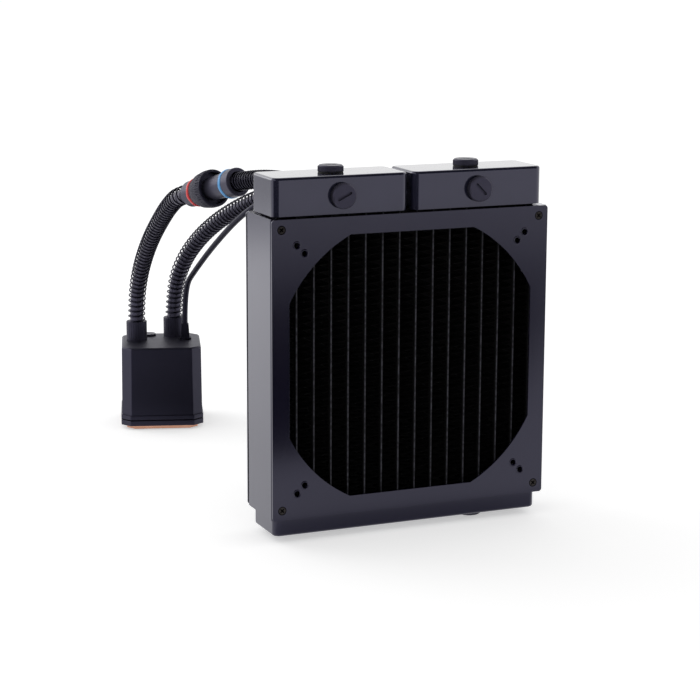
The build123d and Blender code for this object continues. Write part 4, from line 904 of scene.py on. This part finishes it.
def core_fins():
    """The folded fins between the tubes, as one piece for the whole core."""
    gap = TUBE_PITCH - TUBE_THICKNESS
    first = -(TUBE_COUNT / 2 - 1) * TUBE_PITCH
    strips = shaped(piece("fin_strips", bpy.data.meshes.new("fin_strips"), "cooler"), FINS, {
        "Height": CORE_HIGH.z - CORE_LOW.z - 2 * FIN_SHEET, "Period": FIN_PERIOD,
        "Swing": gap / 2 - FIN_SHEET, "Depth": CORE_HIGH.y - CORE_LOW.y, "Sheet": FIN_SHEET,
        "Strips": TUBE_COUNT - 1, "Spacing": TUBE_PITCH, "Material": FIN_ENAMEL,
    })
    middle = (CORE_LOW.y + CORE_HIGH.y) / 2
    strips.transform(Matrix.Translation((first, middle, CORE_LOW.z + FIN_SHEET)))
    return piece("folded_fins", strips, "cooler")


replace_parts(core_fins(), "core_fins")


def hole_rims(name, y):
    """The rims of one panel's eight fan holes, sunk so far that only their crests stand out."""
    spots = bpy.data.meshes.new(name)
    spots.from_pydata([
        (side * offset, y, FRAME_CENTRE_Z + level * offset)
        for offset in FAN_HOLE_OFFSETS for side in (-1, 1) for level in (-1, 1)
    ], [], [])
    rims = shaped(piece(name + "_spots", spots, "cooler"), RIMS, {
        "Radius": RIM_RADIUS, "Bulge": RIM_BULGE, "Material": SATIN_ENAMEL,
    })
    piece(name, rims, "cooler")


hole_rims("front_hole_rims", FRAME_MIDDLE_Y - FRAME_HALF_DEPTH + RIM_SINK)
hole_rims("rear_hole_rims", FRAME_MIDDLE_Y + FRAME_HALF_DEPTH - RIM_SINK)


# Knurls on the tank plugs and on the coupling's collar

def rib_line(outline):
    """One rib's line, from pairs of radius and height."""
    data = bpy.data.curves.new("rib_line", "CURVE")
    data.dimensions = "3D"
    spline = data.splines.new("POLY")
    spline.points.add(len(outline) - 1)
    for knot, (radius, height) in zip(spline.points, outline):
        knot.co = (radius, 0.0, height, 1.0)
    return placed("rib_line", data)


def standing(point, outward):
    """The place of what is drawn up along Z, once it starts at a point and looks outward."""
    return Matrix.Translation(point) @ Vector(outward).to_track_quat("Z", "Y").to_matrix().to_4x4()


def knurled(name, body, outline, count, material, point, outward):
    """Knurls round an axis that starts at a point and looks outward."""
    ribs = shaped(rib_line(outline), KNURLS, {
        "Count": count, "Rib Radius": KNURL_RADIUS, "Material": material,
    })
    ribs.transform(standing(point, outward))
    return piece(name, ribs, body)


softened("tank_plugs", 0.25 * MM)
for number, (point, outward) in enumerate(PLUGS, 1):
    side = [(PLUG_RADIUS, height) for height in PLUG_KNURL]
    knurled(f"plug_knurls_{number}", "cooler", side, PLUG_KNURLS, ACETAL, point, outward)
softened("union_collar", 0.2 * MM)
knurled("collar_knurls", "collar", [(radius * MM, height * MM) for radius, height in COLLAR_OUTLINE],
        COLLAR_KNURLS, COLLAR, COUPLING_START, COUPLING_DIRECTION)
softened("coupling_socket", 0.5 * MM)
softened("coupling_plug", 0.5 * MM)


def mark_ring(node, radius, width, distance):
    """A coloured ring that is a little loose in its groove, so that its edges wander."""
    work = bmesh.new()
    rows = []
    for step in range(MARK_STEPS):
        angle = 2 * math.pi * step / MARK_STEPS
        shift = distance + MARK_WANDER * math.sin(MARK_WAVES * angle)
        outward = Vector((math.cos(angle), math.sin(angle), 0.0))
        rows.append([
            work.verts.new(outward * (radius + height * MM) + Vector((0, 0, shift + share * width)))
            for share, height in MARK_SECTION
        ])
    for here, after in zip(rows, rows[1:] + rows[:1]):
        for index in range(len(MARK_SECTION)):
            follow = (index + 1) % len(MARK_SECTION)
            work.faces.new((here[index], here[follow], after[follow], after[index]))
    bmesh.ops.recalc_face_normals(work, faces=work.faces)
    mesh = bpy.data.meshes.new(node + "_band")
    work.to_mesh(mesh)
    work.free()
    mesh.materials.append(finish_of(node))
    mesh.transform(standing(COUPLING_START, COUPLING_DIRECTION))
    mesh.shade_smooth()
    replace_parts(piece(node + "_band", mesh, "cooler"), node)


mark_ring("coupling_red_ring", 9.5 * MM, 2.5 * MM, 7.2 * MM)
mark_ring("coupling_blue_ring", 9.6 * MM, 2.9 * MM, 45.6 * MM)


# Pump block

softened("pump_housing", 0.9 * MM)
softened("base_frame", 0.5 * MM)
softened("cold_plate", 0.3 * MM)
softened("cable_boot", 0.4 * MM)
softened("fill_plug", 0.2 * MM)


# Camera, floor and light

def camera():
    """The photograph's own camera, found from the radiator's frame and the block's edges."""
    data = bpy.data.cameras.new("camera")
    data.lens = CAMERA_LENS
    data.sensor_width = SENSOR_WIDTH
    data.clip_end = 100.0
    made = placed("camera", data)
    aim = Matrix.Rotation(CAMERA_YAW, 4, "Z") @ Matrix.Rotation(math.pi / 2 - CAMERA_PITCH, 4, "X")
    made.matrix_world = Matrix.Translation(CAMERA_PLACE) @ aim @ Matrix.Rotation(CAMERA_ROLL, 4, "Z")
    bpy.context.scene.camera = made


def seen_rays(tree):
    """1 for what the camera sees straight, in a reflection or through glass, and 0 for other light."""
    ray = add(tree, "ShaderNodeLightPath")
    straight = add(tree, "ShaderNodeMath", {
        0: ray.outputs["Is Camera Ray"], 1: ray.outputs["Is Glossy Ray"],
    }, operation="MAXIMUM")
    return add(tree, "ShaderNodeMath", {
        0: straight.outputs[0], 1: ray.outputs["Is Transmission Ray"],
    }, operation="MAXIMUM").outputs[0]


def stage_sheet(name, corners, material_name):
    """A flat four-cornered sheet of the stage; gives its object and its material's empty tree."""
    mesh = bpy.data.meshes.new(name)
    mesh.from_pydata(corners, [], [(0, 1, 2, 3)])
    made = placed(name, mesh)
    material = bpy.data.materials.new(material_name)
    material.use_nodes = True
    material.node_tree.nodes.clear()
    mesh.materials.append(material)
    return made, material.node_tree


def floor():
    """A wide pale floor that is white to the camera and in reflections, and keeps the object's shadow."""
    corners = [(x * FLOOR_HALF, y * FLOOR_HALF, 0) for x, y in ((-1, -1), (1, -1), (1, 1), (-1, 1))]
    tree = stage_sheet("floor", corners, "white_paper_sweep")[1]
    glow = add(tree, "ShaderNodeMath", {0: seen_rays(tree), 1: FLOOR_GLOW}, operation="MULTIPLY")
    light = add(tree, "ShaderNodeEmission", {"Color": (1, 1, 1, 1), "Strength": glow.outputs[0]})
    paper = add(tree, "ShaderNodeBsdfDiffuse", {"Color": linear("#ebebeb")})
    both = add(tree, "ShaderNodeAddShader", {0: paper.outputs[0], 1: light.outputs[0]})
    add(tree, "ShaderNodeOutputMaterial", {"Surface": both.outputs[0]})


def world():
    """A white surround to the camera and in reflections, and a plain soft light on everything else."""
    made = bpy.data.worlds.new("surround")
    bpy.context.scene.world = made
    made.use_nodes = True
    tree = made.node_tree
    tree.nodes.clear()
    strength = add(tree, "ShaderNodeMapRange", {
        "Value": seen_rays(tree), "To Min": SOFT_LIGHT, "To Max": WHITE,
    })
    sky = add(tree, "ShaderNodeBackground", {"Color": (1, 1, 1, 1), "Strength": strength.outputs[0]})
    add(tree, "ShaderNodeOutputWorld", {"Surface": sky.outputs[0]})


def softbox(name, place, target, size, power):
    """A rectangular soft lamp that faces a point."""
    data = bpy.data.lights.new(name, "AREA")
    data.shape = "RECTANGLE"
    data.size, data.size_y = size
    data.energy = power
    made = placed(name, data)
    made.location = place
    made.rotation_euler = (Vector(place) - Vector(target)).to_track_quat("Z", "Y").to_euler()
    made.visible_camera = False


def flag(name, colour, corners):
    """A card that only reflections see: dark and pale ones as a studio stands round glossy black things,
    and painted shade on the floor.
    """
    made, tree = stage_sheet(name, corners, name + "_card")
    flock = add(tree, "ShaderNodeBsdfDiffuse", {"Color": linear(colour)})
    add(tree, "ShaderNodeOutputMaterial", {"Surface": flock.outputs[0]})
    made.visible_camera = False
    made.visible_diffuse = False
    made.visible_shadow = False


def lying(height, *corners):
    """The corners of a card that lies at one height."""
    return [(x, y, height) for x, y in corners]


camera()
floor()
world()
softbox("back_softbox", (-0.1, 1.7, 0.75), (0.0, 0.0, 0.1), (3.4, 2.0), 3.6)
softbox("left_softbox", (-0.75, 0.75, 0.5), (-0.3, 0.35, 0.0), (0.8, 0.8), 3.0)
# The floor before the object, beside it and behind it, the room's dark wall, painted shade on the floor
# before the pump block and at the radiator's foot, and the dark ceiling
flag("floor_flag", DARK_CARD, lying(ON_FLOOR, (-0.6, -0.31), (-0.6, -1.11), (0.68, -1.11), (0.15, -0.4)))
flag("side_flag", DEEP_CARD, lying(OVER_CARDS, (0.02, -2.9), (-3.5, -2.9), (-3.5, -0.25), (-0.3, -0.25)))
flag("back_flag", PALE_CARD, lying(ON_FLOOR, (-0.2, 0.95), (-0.3, 2.6), (-2.0, 2.6), (-1.6, 0.95)))
flag("room_flag", DARK_CARD, [
    (side * ROOM_HALF, ROOM_FRONT, level)
    for side, level in ((-1, WALL_FOOT), (1, WALL_FOOT), (1, ROOM_HEIGHT), (-1, ROOM_HEIGHT))
])
# Painted shade on the floor before the pump block, which the block's front reflects
flag("block_shade_flag", DARK_CARD, lying(ON_FLOOR, (-0.14, 0.1), (-0.09, -0.1), (0.0, -0.1), (0.02, 0.1)))
# Painted shade: the floor's shadow at the radiator's foot, as the bottom tank reflects it
flag("foot_shade_flag", FOOT_SHADE_CARD, lying(
    ON_FLOOR, (-0.12, -0.19), (-0.12, -0.235), (0.16, -0.235), (0.16, -0.19),
))
flag("ceiling_flag", DARK_CARD, [
    (side * ROOM_HALF, depth, ROOM_HEIGHT)
    for side, depth in ((-1, ROOM_FRONT), (1, ROOM_FRONT), (1, CEILING_BACK), (-1, CEILING_BACK))
])
bpy.context.scene.view_settings.view_transform = "Standard"
